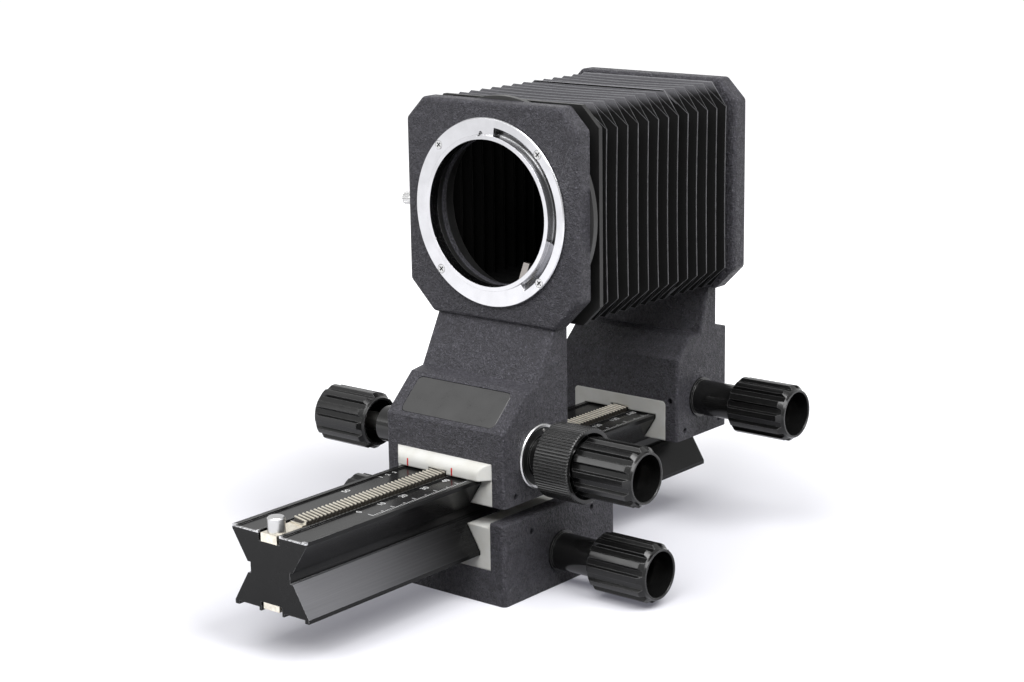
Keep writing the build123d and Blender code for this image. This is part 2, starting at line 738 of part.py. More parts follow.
def make_aperture_ring():
    """The turning ring behind the bayonet, with the tab that the release pushes."""
    back = front_board_front + aperture_pocket_depth - 0.15
    front = back - aperture_ring_thickness
    ring = pipe_y(aperture_ring_outer, aperture_ring_inner, front, back)
    inner = -aperture_ring_outer + 1.0
    tab = [(inner, optical_z + release_tab_low), (-release_tab_outer, optical_z + release_tab_low),
           (-aperture_ring_outer - 0.5, optical_z + release_tab_high),
           (inner, optical_z + release_tab_high)]
    return one(ring + prism_y(tab, front, back))


def make_aperture_lever():
    """The leaning blade that reaches into the throat from the turning ring."""
    back = front_board_front + aperture_pocket_depth - 0.15 - aperture_ring_thickness / 3
    front = back - aperture_lever_thickness
    top, foot = optical_z + aperture_lever_top, optical_z + aperture_lever_foot
    left, right = aperture_lever_left, aperture_lever_left + aperture_lever_width
    shift = aperture_lever_lean * (top - foot)
    blade = prism_y([(left, top), (right, top - 0.25), (right - shift, foot), (left - shift, foot)],
                    front, back)
    return one(blade & rod_y(aperture_ring_inner - press_gap, front - 1, back + 1))


def make_cable_socket():
    """The ribbed threaded socket for a cable release."""
    y, z = release_y(), optical_z + release_height
    edge = -front_board_half_width
    body = rod_x(socket_radius, edge - socket_length, edge, y, z)
    body += rod_x(socket_neck_radius, edge, edge + 1.1, y, z)
    rib = 0.3
    for i in range(socket_ribs):
        angle = 360 * i / socket_ribs
        cut = Pos(edge - socket_length / 2 - 0.5, y, z) * Rot(angle, 0, 0) \
            * Pos(0, 0, socket_radius) * Rot(45, 0, 0) * Box(socket_length - 1.2, rib, rib)
        body -= cut
    body -= rod_x(socket_thread_radius, edge - socket_length - 1, -plunger_tail - 0.25, y, z)
    return one(body - rod_x(plunger_radius + running_gap, edge - 1, edge + 2, y, z))


def make_release_plunger():
    """The pin that a cable release pushes in."""
    pin = rod_x(plunger_radius, -plunger_tail, -plunger_tip, release_y(), optical_z + release_height)
    return chamfer(pin.edges().group_by(Axis.X)[0], 0.25)


def make_retaining_disc():
    """The round disc between the lens board and the bellows."""
    y = front_board_front + board_thickness
    disc = rod_y(retaining_disc_radius, y, y + retaining_disc_thickness)
    disc = chamfer(disc.edges().group_by(Axis.Y)[-1], 0.3)
    return one(disc - rod_y(retaining_disc_hole, y - 1, y + retaining_disc_thickness + 1))


# ================================================================== bellows
def make_bellows_front_frame():
    """The thin octagonal plate and collar at the bellows' front end."""
    y1 = bellows_start
    y0 = y1 - front_frame_plate
    plate = prism_y(octagon(bellows_half_width, bellows_half_height, bellows_corner_cut,
                            bellows_corner_cut), y0, y1)
    collar = rod_y(front_frame_collar_radius, y0 - front_frame_collar, y0)
    return one(plate + collar - rod_y(frame_hole_radius, y0 - front_frame_collar - 1, y1 + 1))


def make_bellows_rear_frame():
    """The thin plate at the bellows' rear end."""
    inset = bellows_pleat_depth - 2.5
    plate = prism_y(octagon(bellows_half_width - inset, bellows_half_height - inset,
                            bellows_corner_cut, bellows_corner_cut),
                    bellows_end, bellows_end + rear_frame_plate)
    return one(plate - rod_y(frame_hole_radius + 0.3, bellows_end - 1, bellows_end + 2))


def pleat_section(inset, y):
    """One octagonal section of the folded cloth."""
    cut = bellows_corner_cut * (1 - inset / (2.5 * bellows_half_width))
    return front_face(octagon(bellows_half_width - inset, bellows_half_height - inset, cut, cut), y)


def pleated_tube(extra, overrun):
    """A closed zigzag tube; extra shrinks it evenly, overrun lengthens it at both ends."""
    pitch = bellows_length / bellows_pleats
    sections = []
    if overrun:
        sections.append(pleat_section(bellows_pleat_depth + extra, bellows_start - overrun))
    for i in range(bellows_pleats):
        start = bellows_start + i * pitch
        sections.append(pleat_section(bellows_pleat_depth + extra, start))
        sections.append(pleat_section(extra, start + pitch / 2))
    sections.append(pleat_section(bellows_pleat_depth + extra, bellows_end))
    if overrun:
        sections.append(pleat_section(bellows_pleat_depth + extra, bellows_end + overrun))
    return loft(sections, ruled=True)


def make_bellows():
    """The pleated light-tight tube."""
    return one(pleated_tube(0, 0) - pleated_tube(bellows_wall, 1.0))


# ================================================================== rear standard
def rear_grub_places():
    """(y, z) of the rear standard's adjusting screws."""
    return [(rear_base_front + 4.9, rail_axis_z + 7.2),
            (rear_base_front + 26.1, rail_axis_z + 7.2)]


def rear_screw_place():
    """(x, z) of the liner's retaining screw in the rear standard's front face."""
    return insert_half_width + 1.9, rail_axis_z + insert_top + 0.3


def make_rear_casting():
    """Base, neck and camera board in one casting."""
    f = rear_base_front
    back, neck_back = f + rear_base_depth, f + rear_neck_rear
    ledge_y = f + rear_slope_run + rear_ledge_run
    profile = [(f, standard_bottom), (f, rear_step_height), (f + rear_slope_run, rear_ledge_height),
               (ledge_y, rear_ledge_height + 0.25), (ledge_y + rear_neck_lean, rear_neck_top),
               (ledge_y + rear_neck_lean, rear_neck_top + 2), (neck_back, rear_neck_top + 2),
               (neck_back, rear_ledge_height + 1.5), (back, rear_ledge_height), (back, standard_bottom)]
    body = rounded_casting_base(profile)
    board_back = rear_board_front + board_thickness
    body -= block(-rear_board_half_width, rear_board_half_width, board_back, back,
                  rail_axis_z + rear_neck_top, optical_z)
    body += make_board(rear_board_half_width, rear_board_half_height, board_top_cut + 1,
                       rear_board_front)
    body -= insert_window(f, back)
    body -= drive_bore(rear_drive_y, upper_drive_z, standard_half_width)
    body -= rod_y(rear_throat_radius, rear_board_front - 1, board_back + 1)
    lock_y = rear_board_front + board_thickness / 2
    body -= rod_x(turn_lock_shank_radius + press_gap, -rear_board_half_width - 1, 0, lock_y, optical_z)
    x, z = rear_screw_place()
    body -= rod_y(grub_screw_radius + press_gap, f - 1,
                  f + grub_screw_recess + grub_screw_length + 0.3, x, z)
    for tool in grub_hole_tools(standard_half_width, rear_grub_places()):
        body -= tool
    return one(body)


def make_rear_insert():
    """The rear liner, with a pocket for the rail's rear stop pin."""
    y0, y1 = rear_base_front, rear_base_front + rear_base_depth
    insert = make_standard_insert(y0, y1, rear_drive_y)
    pin_y = stop_pin_places()[1]
    half = stop_pin_radius + 0.4
    top = rail_axis_z + upper_pitch_line - rack_block_gap + stop_pin_height + 0.3
    insert -= block(-half, half, pin_y - half, y1 + 1, rail_axis_z + rail_face_height, top)
    return one(insert)


def make_rear_insert_screw():
    """The liner's retaining screw in the front face."""
    x, z = rear_screw_place()
    start = rear_base_front + grub_screw_recess
    screw = rod_y(grub_screw_radius, start, start + grub_screw_length, x, z)
    return one(screw - block(x - 2, x + 2, start - 1, start + 0.5, z - 0.18, z + 0.18))


def make_turntable():
    """The turning ring that carries the camera's bayonet."""
    board_back = rear_board_front + board_thickness
    flange_front = board_back + air_gap
    ring = rod_y(turntable_radius, flange_front, flange_front + turntable_flange)
    ring = chamfer(ring.edges().filter_by(GeomType.CIRCLE), 0.4)
    for i in range(turntable_notches):
        angle = 360 * i / turntable_notches
        notch = rod_y(0.8, flange_front - 1, flange_front + turntable_flange + 1, turntable_radius + 0.2)
        ring -= turned_about_optical_axis(notch, angle)
    ring += rod_y(rear_throat_radius - running_gap, retainer_back(), flange_front)
    ring -= rod_y(turntable_bore, rear_board_front - 5, flange_front + turntable_flange + 1)
    for angle in (45, 135, 225, 315):
        ring -= turned_about_optical_axis(camera_screw_shank(press_gap), angle)
    return one(ring)


def retainer_back():
    """Y where the turntable's boss meets its retainer."""
    return rear_board_front - air_gap


def make_turntable_retainer():
    """The ring inside the bellows that keeps the turntable in its bore."""
    y = retainer_back()
    return one(pipe_y(retainer_radius, turntable_bore + 1.0, y - retainer_thickness, y))


def camera_face():
    """Y of the seat of the camera's bayonet on the turntable."""
    return rear_board_front + board_thickness + air_gap + turntable_flange


def camera_screw_shank(gap):
    """One camera mount screw's shank at the +X end of its circle."""
    y = camera_face() + camera_flange - lens_screw_head_height
    return rod_y(lens_screw_shank_radius + gap, y - 3.0, y, camera_screw_circle)


def camera_screw_head(gap):
    """One camera mount screw's head at the +X end of its circle."""
    y = camera_face() + camera_flange
    return rod_y(lens_screw_head_radius + gap, y - lens_screw_head_height, y, camera_screw_circle)


def make_camera_bayonet():
    """The chromed three-lug mount that goes into the camera."""
    y = camera_face()
    mount = rod_y(camera_flange_radius, y, y + camera_flange)
    mount = chamfer(mount.edges().group_by(Axis.Y)[-1], 0.3)
    end = y + camera_tube_length
    mount += rod_y(camera_tube_radius, y, end)
    lug_ring = rod_y(camera_lug_radius, end - camera_lug_length, end - 0.4)
    half = radians(camera_lug_sweep / 2)
    reach = 2 * camera_lug_radius
    for i in range(3):
        wedge = prism_y([(0, optical_z), (reach, optical_z - reach * tan(half)),
                         (reach, optical_z + reach * tan(half))], end - 4, end + 1)
        mount += lug_ring & turned_about_optical_axis(wedge, 90 + 120 * i)
    mount -= rod_y(turntable_bore, y - 1, end + 1)
    for angle in (45, 135, 225, 315):
        mount -= turned_about_optical_axis(camera_screw_shank(press_gap), angle)
        mount -= turned_about_optical_axis(camera_screw_head(press_gap), angle)
    return one(mount)


def make_camera_screws():
    """Four cross-head screws of the camera's bayonet."""
    y = camera_face() + camera_flange
    screw = camera_screw_head(0) + camera_screw_shank(0)
    arm, half = 1.0, 0.2
    x, z = camera_screw_circle, optical_z
    screw -= block(x - arm, x + arm, y - 0.5, y + 1, z - half, z + half)
    screw -= block(x - half, x + half, y - 0.5, y + 1, z - arm, z + arm)
    return Compound(children=[one(turned_about_optical_axis(screw, a)) for a in (45, 135, 225, 315)])


def make_turn_lock():
    """The knurled screw that clamps the turntable."""
    y = rear_board_front + board_thickness / 2
    outer = rear_board_half_width + air_gap + 0.2
    head = rod_x(turn_lock_head_radius, -outer - turn_lock_head_length, -outer, y, optical_z)
    head = chamfer(head.edges().filter_by(GeomType.CIRCLE), 0.4)
    notches = 24
    for i in range(notches):
        cut = Pos(-outer - turn_lock_head_length / 2, y, optical_z) * Rot(360 * i / notches, 0, 0) \
            * Pos(0, 0, turn_lock_head_radius) * Rot(45, 0, 0) * Box(turn_lock_head_length + 1, 0.45, 0.45)
        head -= cut
    shank = rod_x(turn_lock_shank_radius, -outer, -rear_throat_radius - 0.3, y, optical_z)
    return one(head + shank)


# ================================================================== drives and knobs
def pinion_outline():
    """Outline points of the pinion in its turning plane (y, z), a tooth at -z."""
    base = pitch_radius * cos(pressure_angle)
    root = pitch_radius - dedendum
    half_at_pitch = (rack_pitch / 2 - gear_backlash / 2) / (2 * pitch_radius)

    def involute(radius):
        ratio = max(radius / base, 1.0)
        roll = sqrt(ratio ** 2 - 1)
        return roll - atan_of(roll)

    def half_angle(radius):
        return half_at_pitch + involute(pitch_radius) - involute(radius)

    radii = [root] + [base + (pinion_tip_radius - base) * i / 3 for i in range(4)]
    points = []
    for tooth in range(pinion_teeth):
        middle = 2 * pi * tooth / pinion_teeth
        rising = [(r, middle - half_angle(r)) for r in radii]
        falling = [(r, middle + half_angle(r)) for r in reversed(radii)]
        points += [(r * sin(a), -r * cos(a)) for r, a in rising + falling]
    return points


def atan_of(value):
    """Arc tangent, written with the vector class to keep the imports small."""
    return radians(Vector(1, 0, 0).get_angle(Vector(1, value, 0)))


def make_pinion(y, z, below, gap_y):
    """A helical pinion on the X axis; below says that its rack lies under it."""
    lean = (1 if below else -1) * tan(tooth_slant) / pitch_radius
    gap_turn = (gap_y - y) / pitch_radius * (1 if below else -1)
    half = pinion_width / 2
    start_turn = gap_turn + half * lean + (0 if below else pi)
    c, s = cos(start_turn), sin(start_turn)
    turned = [(py * c - pz * s, py * s + pz * c) for py, pz in pinion_outline()]
    face = make_face(Polyline(*turned, close=True)).faces()[0]
    twist = -2 * half * lean
    wheel = Solid.extrude_linear_with_rotation(face, center=(0, 0), normal=(0, 0, pinion_width),
                                               angle=twist * 180 / pi)
    wheel = Plane(origin=(-half, y, z), x_dir=(0, 1, 0), z_dir=(1, 0, 0)) * wheel
    return one(wheel - rod_x(shaft_radius + press_gap, -half - 1, half + 1, y, z))


def make_shaft(y, z, knob_end):
    """The driving shaft from the pinion to the knob."""
    end = knob_end - knob_hollow_depth - 0.2
    shaft = rod_x(shaft_radius, shaft_left_end, end, y, z)
    shaft = chamfer(shaft.edges().group_by(Axis.X)[0], 0.4)
    hole = rod_x(knob_screw_shank_radius + press_gap, end - knob_screw_shank_length - 0.5, end + 1, y, z)
    return one(shaft - hole)


def make_sleeve(y, z, half_width, side):
    """The bearing sleeve screwed into one side wall; side is +1 right or -1 left."""
    sleeve = rod_x(sleeve_seat_radius, sleeve_inner_end, half_width, y, z)
    sleeve += rod_x(sleeve_flange_radius, half_width, half_width + sleeve_flange, y, z)
    barrel = rod_x(sleeve_radius, half_width, sleeve_outer_end, y, z)
    sleeve += chamfer(barrel.edges().group_by(Axis.X)[-1], 0.5)
    sleeve -= rod_x(shaft_radius + running_gap, 0, sleeve_outer_end + 1, y, z)
    if side < 0:
        sleeve = mirror(sleeve, Plane.YZ)
    return one(sleeve)


def knob_profile():
    """Half outline of a knob (distance along the axis, radius), hollow end last."""
    return [(0, 0), (0, knob_radius - knob_inner_bevel), (knob_inner_bevel, knob_radius),
            (knob_length - knob_rim_width - knob_rim_slope, knob_radius),
            (knob_length - knob_rim_width, knob_rim_radius),
            (knob_length, knob_rim_radius - 0.3), (knob_length, knob_hollow_radius + 0.2),
            (knob_length - 0.2, knob_hollow_radius),
            (knob_length - knob_hollow_depth, knob_hollow_radius),
            (knob_length - knob_hollow_depth, 0)]


def make_knob():
    """A fluted knob with one hollow end, along +X from its closed end at the origin."""
    outline = Plane.XY * make_face(Polyline(*knob_profile(), close=True))
    knob = revolve(outline, Axis.X)
    floor = knob_radius - knob_flute_depth
    half, flare, over = knob_flute_width / 2, knob_flute_flare, 1.0
    reach = knob_flute_depth + over
    top = half + flare * reach / knob_flute_depth
    end = knob_length - knob_rim_width
    face = side_face([(-half, floor), (-top, floor + reach), (top, floor + reach), (half, floor)], -1)
    groove = extrude(face, amount=end + 1)
    for i in range(knob_flutes):
        knob -= Rot(360 * (i + 0.5) / knob_flutes, 0, 0) * groove
    return one(knob)


def make_drive_knob(y, z, knob_end):
    """A driving knob on the right, hollow end outwards, bored for its shaft."""
    knob = make_knob() - rod_x(shaft_radius + press_gap, -1, knob_length, 0, 0)
    return Pos(knob_end - knob_length, y, z) * knob


def make_lock_knob(y, z):
    """A locking knob on the left, hollow end towards the body, bored for its stud."""
    hub = knob_length - knob_hollow_depth
    knob = make_knob() - rod_x(shaft_radius + press_gap, 2.5, hub + 1, 0, 0)
    return Pos(-lock_knob_end, y, z) * knob


def make_lock_stud(y, z):
    """The clamping stud that the locking knob turns; it bears on the shaft's end."""
    stud = rod_x(shaft_radius, -lock_knob_end + 2.8, shaft_left_end - air_gap, y, z)
    return chamfer(stud.edges().group_by(Axis.X)[-1], 0.6)


def make_knob_screw(y, z, knob_end):
    """The screw at the bottom of the driving knob's hollow."""
    seat = knob_end - knob_hollow_depth
    head = rod_x(knob_screw_head_radius, seat, seat + knob_screw_head_height, y, z)
    head -= block(seat + knob_screw_head_height - 0.8, seat + knob_screw_head_height + 1,
                  y - 0.4, y + 0.4, z - 5, z + 5)
    shank = rod_x(knob_screw_shank_radius, seat - knob_screw_shank_length, seat, y, z)
    return one(head + shank)


def make_friction_ring():
    """The finely knurled ring round the front driving knob."""
    y, z = front_drive_y, upper_drive_z
    outer, root = friction_ring_radius, friction_ring_radius - friction_ring_tooth
    points = []
    for i in range(friction_ring_teeth):
        middle = 2 * pi * i / friction_ring_teeth
        quarter = pi / friction_ring_teeth / 2
        for radius, turn in ((root, -2 * quarter), (outer, -0.8 * quarter), (outer, 0.8 * quarter)):
            points.append((y + radius * cos(middle + turn), z + radius * sin(middle + turn)))
    ring = prism_x(points, friction_ring_start, friction_ring_end)
    envelope = rod_x(outer + 0.1, friction_ring_start - 1, friction_ring_end, y, z)
    envelope = chamfer(envelope.edges().group_by(Axis.X)[-1], 0.5)
    ring = ring & envelope
    ring += chamfer(rod_x(root - 0.1, friction_ring_start - 1.2, friction_ring_start, y, z)
                    .edges().group_by(Axis.X)[0], 0.9)
    ring -= rod_x(sleeve_radius + running_gap, friction_ring_start - 3, friction_ring_end, y, z)
    ring -= rod_x(friction_ring_recess_radius, friction_ring_start + friction_ring_web,
                  friction_ring_end + 1, y, z)
    return one(ring)


def make_seat_ring():
    """The chromed ring on the side wall behind the friction ring."""
    y, z, x = front_drive_y, upper_drive_z, standard_half_width
    ring = rod_x(seat_ring_radius, x, x + seat_ring_height, y, z)
    ring = chamfer(ring.edges().group_by(Axis.X)[-1], 0.35)
    return one(ring - rod_x(seat_ring_radius - seat_ring_wall, x - 1, x + 5, y, z))


def seat_screw_places():
    """(y, z) of the seat plate's two screws."""
    return [(front_drive_y + seat_screw_circle * cos(radians(a)),
             upper_drive_z + seat_screw_circle * sin(radians(a))) for a in (80, 260)]


def make_seat_plate():
    """The black plate inside the chromed ring."""
    y, z, x = front_drive_y, upper_drive_z, standard_half_width
    plate = rod_x(seat_ring_radius - seat_ring_wall - press_gap, x, x + seat_plate_height, y, z)
    plate -= rod_x(sleeve_flange_radius + press_gap, x - 1, x + sleeve_flange + press_gap, y, z)
    plate -= rod_x(sleeve_radius + press_gap, x - 1, x + 5, y, z)
    for sy, sz in seat_screw_places():
        plate -= rod_x(seat_screw_radius + press_gap, x - 1, x + 5, sy, sz)
    return one(plate)


def make_seat_screws():
    """Two small screws in the seat plate."""
    x = standard_half_width + press_gap
    return Compound(children=[one(rod_x(seat_screw_radius, x, x + seat_plate_height + 0.15, y, z))
                              for y, z in seat_screw_places()])


# ================================================================== assembly
def add_drive(nodes, name, y, z, half_width, knob_end, below, gap_y):
    """Add one rack drive: shaft, pinion, sleeves, knob and its lock."""
    nodes[name + "_shaft"] = make_shaft(y, z, knob_end)
    nodes[name + "_pinion"] = make_pinion(y, z, below, gap_y)
    nodes[name + "_sleeve_right"] = make_sleeve(y, z, half_width, 1)
    nodes[name + "_sleeve_left"] = make_sleeve(y, z, half_width, -1)
    nodes[name + "_knob"] = make_drive_knob(y, z, knob_end)
    nodes[name + "_knob_screw"] = make_knob_screw(y, z, knob_end)
    nodes[name + "_lock_stud"] = make_lock_stud(y, z)
    nodes[name + "_lock_knob"] = make_lock_knob(y, z)


def nearest_gap(y):
    """The upper rack's tooth gap nearest to a place along the rail."""
    steps = round((y - front_drive_y) / rack_pitch)
    return front_drive_y + steps * rack_pitch


def main():
    """Build every piece and write it."""
    nodes = {
        "carriage_housing": make_carriage_housing(),
        "carriage_insert": make_carriage_insert(),
        "tripod_bush": make_tripod_bush(),
        "carriage_grub_screws": make_grub_screws(carriage_half_width, carriage_grub_places(),
                                                 carriage_grub_screw_length),
        "rail": make_rail(),
        "upper_rack": make_rack(upper_rack_plain_end, upper_pitch_line, front_drive_y, True),
        "lower_rack": make_rack(lower_rack_plain_end, lower_pitch_line, 0.0, False),
        "stop_pins": make_stop_pins(),
        "rack_stop_screws": make_rack_stop_screws(),
        "front_casting": make_front_casting(),
        "front_insert": make_front_insert(),
        "front_grub_screws": make_grub_screws(standard_half_width, front_grub_places()),
        "nameplate": make_nameplate(),
        "lens_ring": make_lens_ring(),
        "lens_ring_screws": make_lens_ring_screws(),
        "aperture_ring": make_aperture_ring(),
        "aperture_lever": make_aperture_lever(),
        "cable_socket": make_cable_socket(),
        "release_plunger": make_release_plunger(),
        "retaining_disc": make_retaining_disc(),
        "seat_ring": make_seat_ring(),
        "seat_plate": make_seat_plate(),
        "seat_screws": make_seat_screws(),
        "friction_ring": make_friction_ring(),
        "bellows_front_frame": make_bellows_front_frame(),
        "bellows": make_bellows(),
        "bellows_rear_frame": make_bellows_rear_frame(),
        "rear_casting": make_rear_casting(),
        "rear_insert": make_rear_insert(),
        "rear_insert_screw": make_rear_insert_screw(),
        "rear_grub_screws": make_grub_screws(standard_half_width, rear_grub_places()),
        "camera_turntable": make_turntable(),
        "turntable_retainer": make_turntable_retainer(),
        "camera_bayonet": make_camera_bayonet(),
        "camera_bayonet_screws": make_camera_screws(),
        "turntable_lock": make_turn_lock(),
    }
    add_drive(nodes, "front", front_drive_y, upper_drive_z, standard_half_width, knob_front_end,
              True, front_drive_y)
    add_drive(nodes, "rear", rear_drive_y, upper_drive_z, standard_half_width, knob_rear_end,
              True, nearest_gap(rear_drive_y))
    add_drive(nodes, "carriage", 0.0, lower_drive_z, carriage_half_width, knob_carriage_end, False, 0.0)
    for name, shape in nodes.items():
        export_step(shape, f"parts/{name}.step")
        print(name, round(shape.volume, 2))


main()
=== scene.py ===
"""Dresses the macro bellows unit: a camera, plain light, real finishes and the soft and fine pieces."""
import logging
import random
from dataclasses import dataclass, field, replace
from enum import Enum
from math import copysign, cos, pi, radians, sin
from typing import Callable, Optional, Sequence, Union

import bpy
from mathutils import Matrix, Vector


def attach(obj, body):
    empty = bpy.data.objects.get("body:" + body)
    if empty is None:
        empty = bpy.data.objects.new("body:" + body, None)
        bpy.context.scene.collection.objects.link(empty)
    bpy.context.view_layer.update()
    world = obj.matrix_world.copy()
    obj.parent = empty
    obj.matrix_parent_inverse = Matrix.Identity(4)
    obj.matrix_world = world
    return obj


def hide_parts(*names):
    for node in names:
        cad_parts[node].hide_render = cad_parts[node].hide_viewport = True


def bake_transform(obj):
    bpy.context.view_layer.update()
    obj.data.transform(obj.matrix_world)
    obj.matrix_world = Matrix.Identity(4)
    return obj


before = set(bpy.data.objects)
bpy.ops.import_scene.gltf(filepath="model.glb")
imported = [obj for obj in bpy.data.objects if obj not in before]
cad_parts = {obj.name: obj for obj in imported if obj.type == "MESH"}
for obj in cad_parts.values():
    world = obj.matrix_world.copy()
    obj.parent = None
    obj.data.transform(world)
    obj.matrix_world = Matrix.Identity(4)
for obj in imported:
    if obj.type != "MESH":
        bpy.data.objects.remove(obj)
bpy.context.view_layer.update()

log = logging.getLogger("bellows_unit")
MM = 0.001
AXIS_Z = 0.1214                   # height of the optical axis


# ------------------------------------------------------------------ shader arithmetic
class Wire:
    """A shader socket that takes part in Python expressions."""

    def __init__(self, recipe: "Recipe", socket: bpy.types.NodeSocket) -> None:
        """Wrap a socket.

        Args:
            recipe: the material the socket belongs to.
            socket: the output socket.
        """
        self.recipe = recipe
        self.socket = socket

    def _math(self, operation: str, a: object, b: object = 0.0) -> "Wire":
        """One Math node of this operation on two values."""
        return self.recipe.node("ShaderNodeMath", {"operation": operation}, {0: a, 1: b})

    def __add__(self, other: object) -> "Wire":
        """Sum."""
        return self._math("ADD", self, other)

    __radd__ = __add__

    def __sub__(self, other: object) -> "Wire":
        """Difference."""
        return self._math("SUBTRACT", self, other)

    def __rsub__(self, other: object) -> "Wire":
        """Reflected difference."""
        return self._math("SUBTRACT", other, self)

    def __mul__(self, other: object) -> "Wire":
        """Product."""
        return self._math("MULTIPLY", self, other)

    __rmul__ = __mul__

    def __pow__(self, other: object) -> "Wire":
        """Power."""
        return self._math("POWER", self, other)

    def at_most(self, other: object) -> "Wire":
        """The smaller of two values."""
        return self._math("MINIMUM", self, other)

    def at_least(self, other: object) -> "Wire":
        """The larger of two values."""
        return self._math("MAXIMUM", self, other)

    def steps(self, low: float, high: float, to_low: float = 0.0, to_high: float = 1.0) -> "Wire":
        """Map a range smoothly onto another, clamped.

        Args:
            low: value that maps to to_low.
            high: value that maps to to_high.
            to_low: first result.
            to_high: last result.

        Returns:
            The mapped value.
        """
        return self.recipe.node("ShaderNodeMapRange", {"interpolation_type": "SMOOTHSTEP"},
                                {0: self, 1: low, 2: high, 3: to_low, 4: to_high})


class Recipe:
    """One material's node tree, with its Principled shader."""

    def __init__(self, name: str) -> None:
        """Start an empty material.

        Args:
            name: the material's name.
        """
        self.material = bpy.data.materials.new(name)
        self.material.use_nodes = True
        self.tree = self.material.node_tree
        self.shader = self.tree.nodes["Principled BSDF"]
        self.output = self.tree.nodes["Material Output"]

    def node(self, kind: str, settings: Optional[dict] = None, inputs: Optional[dict] = None,
             out: Union[int, str] = 0) -> Wire:
        """Add one node.

        Args:
            kind: the node's type.
            settings: its properties, set first.
            inputs: values or wires by socket name or index.
            out: which output to return.

        Returns:
            The chosen output as a wire.
        """
        made = self.tree.nodes.new(kind)
        for key, value in (settings or {}).items():
            setattr(made, key, value)
        for key, value in (inputs or {}).items():
            self.feed(made.inputs[key], value)
        return Wire(self, made.outputs[out])

    def feed(self, socket: bpy.types.NodeSocket, value: object) -> None:
        """Set a socket's value or link a wire to it."""
        if isinstance(value, Wire):
            self.tree.links.new(value.socket, socket)
        else:
            socket.default_value = value

    def set(self, **sockets: object) -> None:
        """Set the shader's sockets; underscores in names stand for spaces."""
        for name, value in sockets.items():
            self.feed(self.shader.inputs[name.replace("_", " ")], value)

    def place(self, scale: Sequence[float]) -> Wire:
        """Object coordinates, scaled along each axis."""
        here = self.node("ShaderNodeTexCoord", out="Object")
        return self.node("ShaderNodeMapping", {"vector_type": "POINT"}, {"Vector": here, "Scale": scale})

    def noise(self, size: float, detail: float = 3.0, rough: float = 0.5,
              stretch: Sequence[float] = (1, 1, 1), lumpy: float = 0.0) -> Wire:
        """A noise whose features are about size metres wide.

        Args:
            size: the feature size in metres.
            detail: octaves.
            rough: roughness of the octaves.
            stretch: how much longer the features are along each axis.
            lumpy: distortion.

        Returns:
            The noise from 0 to 1.
        """
        scale = tuple(1.0 / (size * s) for s in stretch)
        return self.node("ShaderNodeTexNoise", {"noise_dimensions": "3D"},
                         {"Vector": self.place(scale), "Scale": 1.0, "Detail": detail,
                          "Roughness": rough, "Distortion": lumpy})

    def mix(self, share: object, first: object, second: object) -> Wire:
        """Mix two colours by a share."""
        return self.node("ShaderNodeMix", {"data_type": "RGBA"},
                         {0: share, 6: first, 7: second}, out=2)

    def attribute(self, name: str) -> Wire:
        """A number stored on the piece's points."""
        return self.node("ShaderNodeAttribute", {"attribute_name": name}, out="Fac")

    def soft_edges(self, radius: float) -> Wire:
        """A normal that rounds sharp edges by a small radius."""
        return self.node("ShaderNodeBevel", {"samples": 6}, {"Radius": radius})

    def sharp(self, radius: float, low: float = 0.03, high: float = 0.3) -> Wire:
        """A mask that is 1 on sharp edges and 0 on faces.

        Args:
            radius: how far from the edge it reaches, in metres.
            low: turn of the normal where the mask starts.
            high: turn of the normal where it is full.

        Returns:
            The mask.
        """
        flat = self.node("ShaderNodeNewGeometry", out="Normal")
        agree = self.node("ShaderNodeVectorMath", {"operation": "DOT_PRODUCT"},
                          {0: self.soft_edges(radius), 1: flat}, out="Value")
        return (1 - agree).steps(low, high)

    def along(self, axis: str) -> Wire:
        """One Object coordinate in metres: X, Y or Z."""
        here = self.node("ShaderNodeTexCoord", out="Object")
        return self.node("ShaderNodeSeparateXYZ", None, {0: here}, out=axis)

    def bump(self, height: object, distance: float, strength: float = 1.0,
             normal: Optional[Wire] = None) -> Wire:
        """A normal bent by a height map.

        Args:
            height: the height from 0 to 1.
            distance: its depth in metres.
            strength: how much of it shows.
            normal: the normal that it bends.

        Returns:
            The bent normal.
        """
        inputs = {"Strength": strength, "Distance": distance, "Height": height}
        if normal is not None:
            inputs["Normal"] = normal
        return self.node("ShaderNodeBump", None, inputs)


def grey(value: float) -> tuple:
    """An opaque neutral colour."""
    return (value, value, value, 1.0)


def colour(r: float, g: float, b: float) -> tuple:
    """An opaque colour."""
    return (r, g, b, 1.0)


def shaded(tone: tuple, red: float, green: float, blue: float) -> tuple:
    """A colour with its channels multiplied."""
    return colour(tone[0] * red, tone[1] * green, tone[2] * blue)


# ------------------------------------------------------------------ finishes
@dataclass(frozen=True)
class Finish:
    """A named surface finish."""

    name: str
    tone: tuple
    roughness: float = 0.4
    edge: float = 0.00015

    def build(self) -> bpy.types.Material:
        """Make the material.

        Returns:
            The finished material.
        """
        recipe = Recipe(self.name)
        recipe.set(Base_Color=self.tone, Roughness=self.roughness)
        self.dress(recipe)
        return recipe.material

    def dress(self, r: Recipe) -> None:
        """Add the finish's own nodes."""


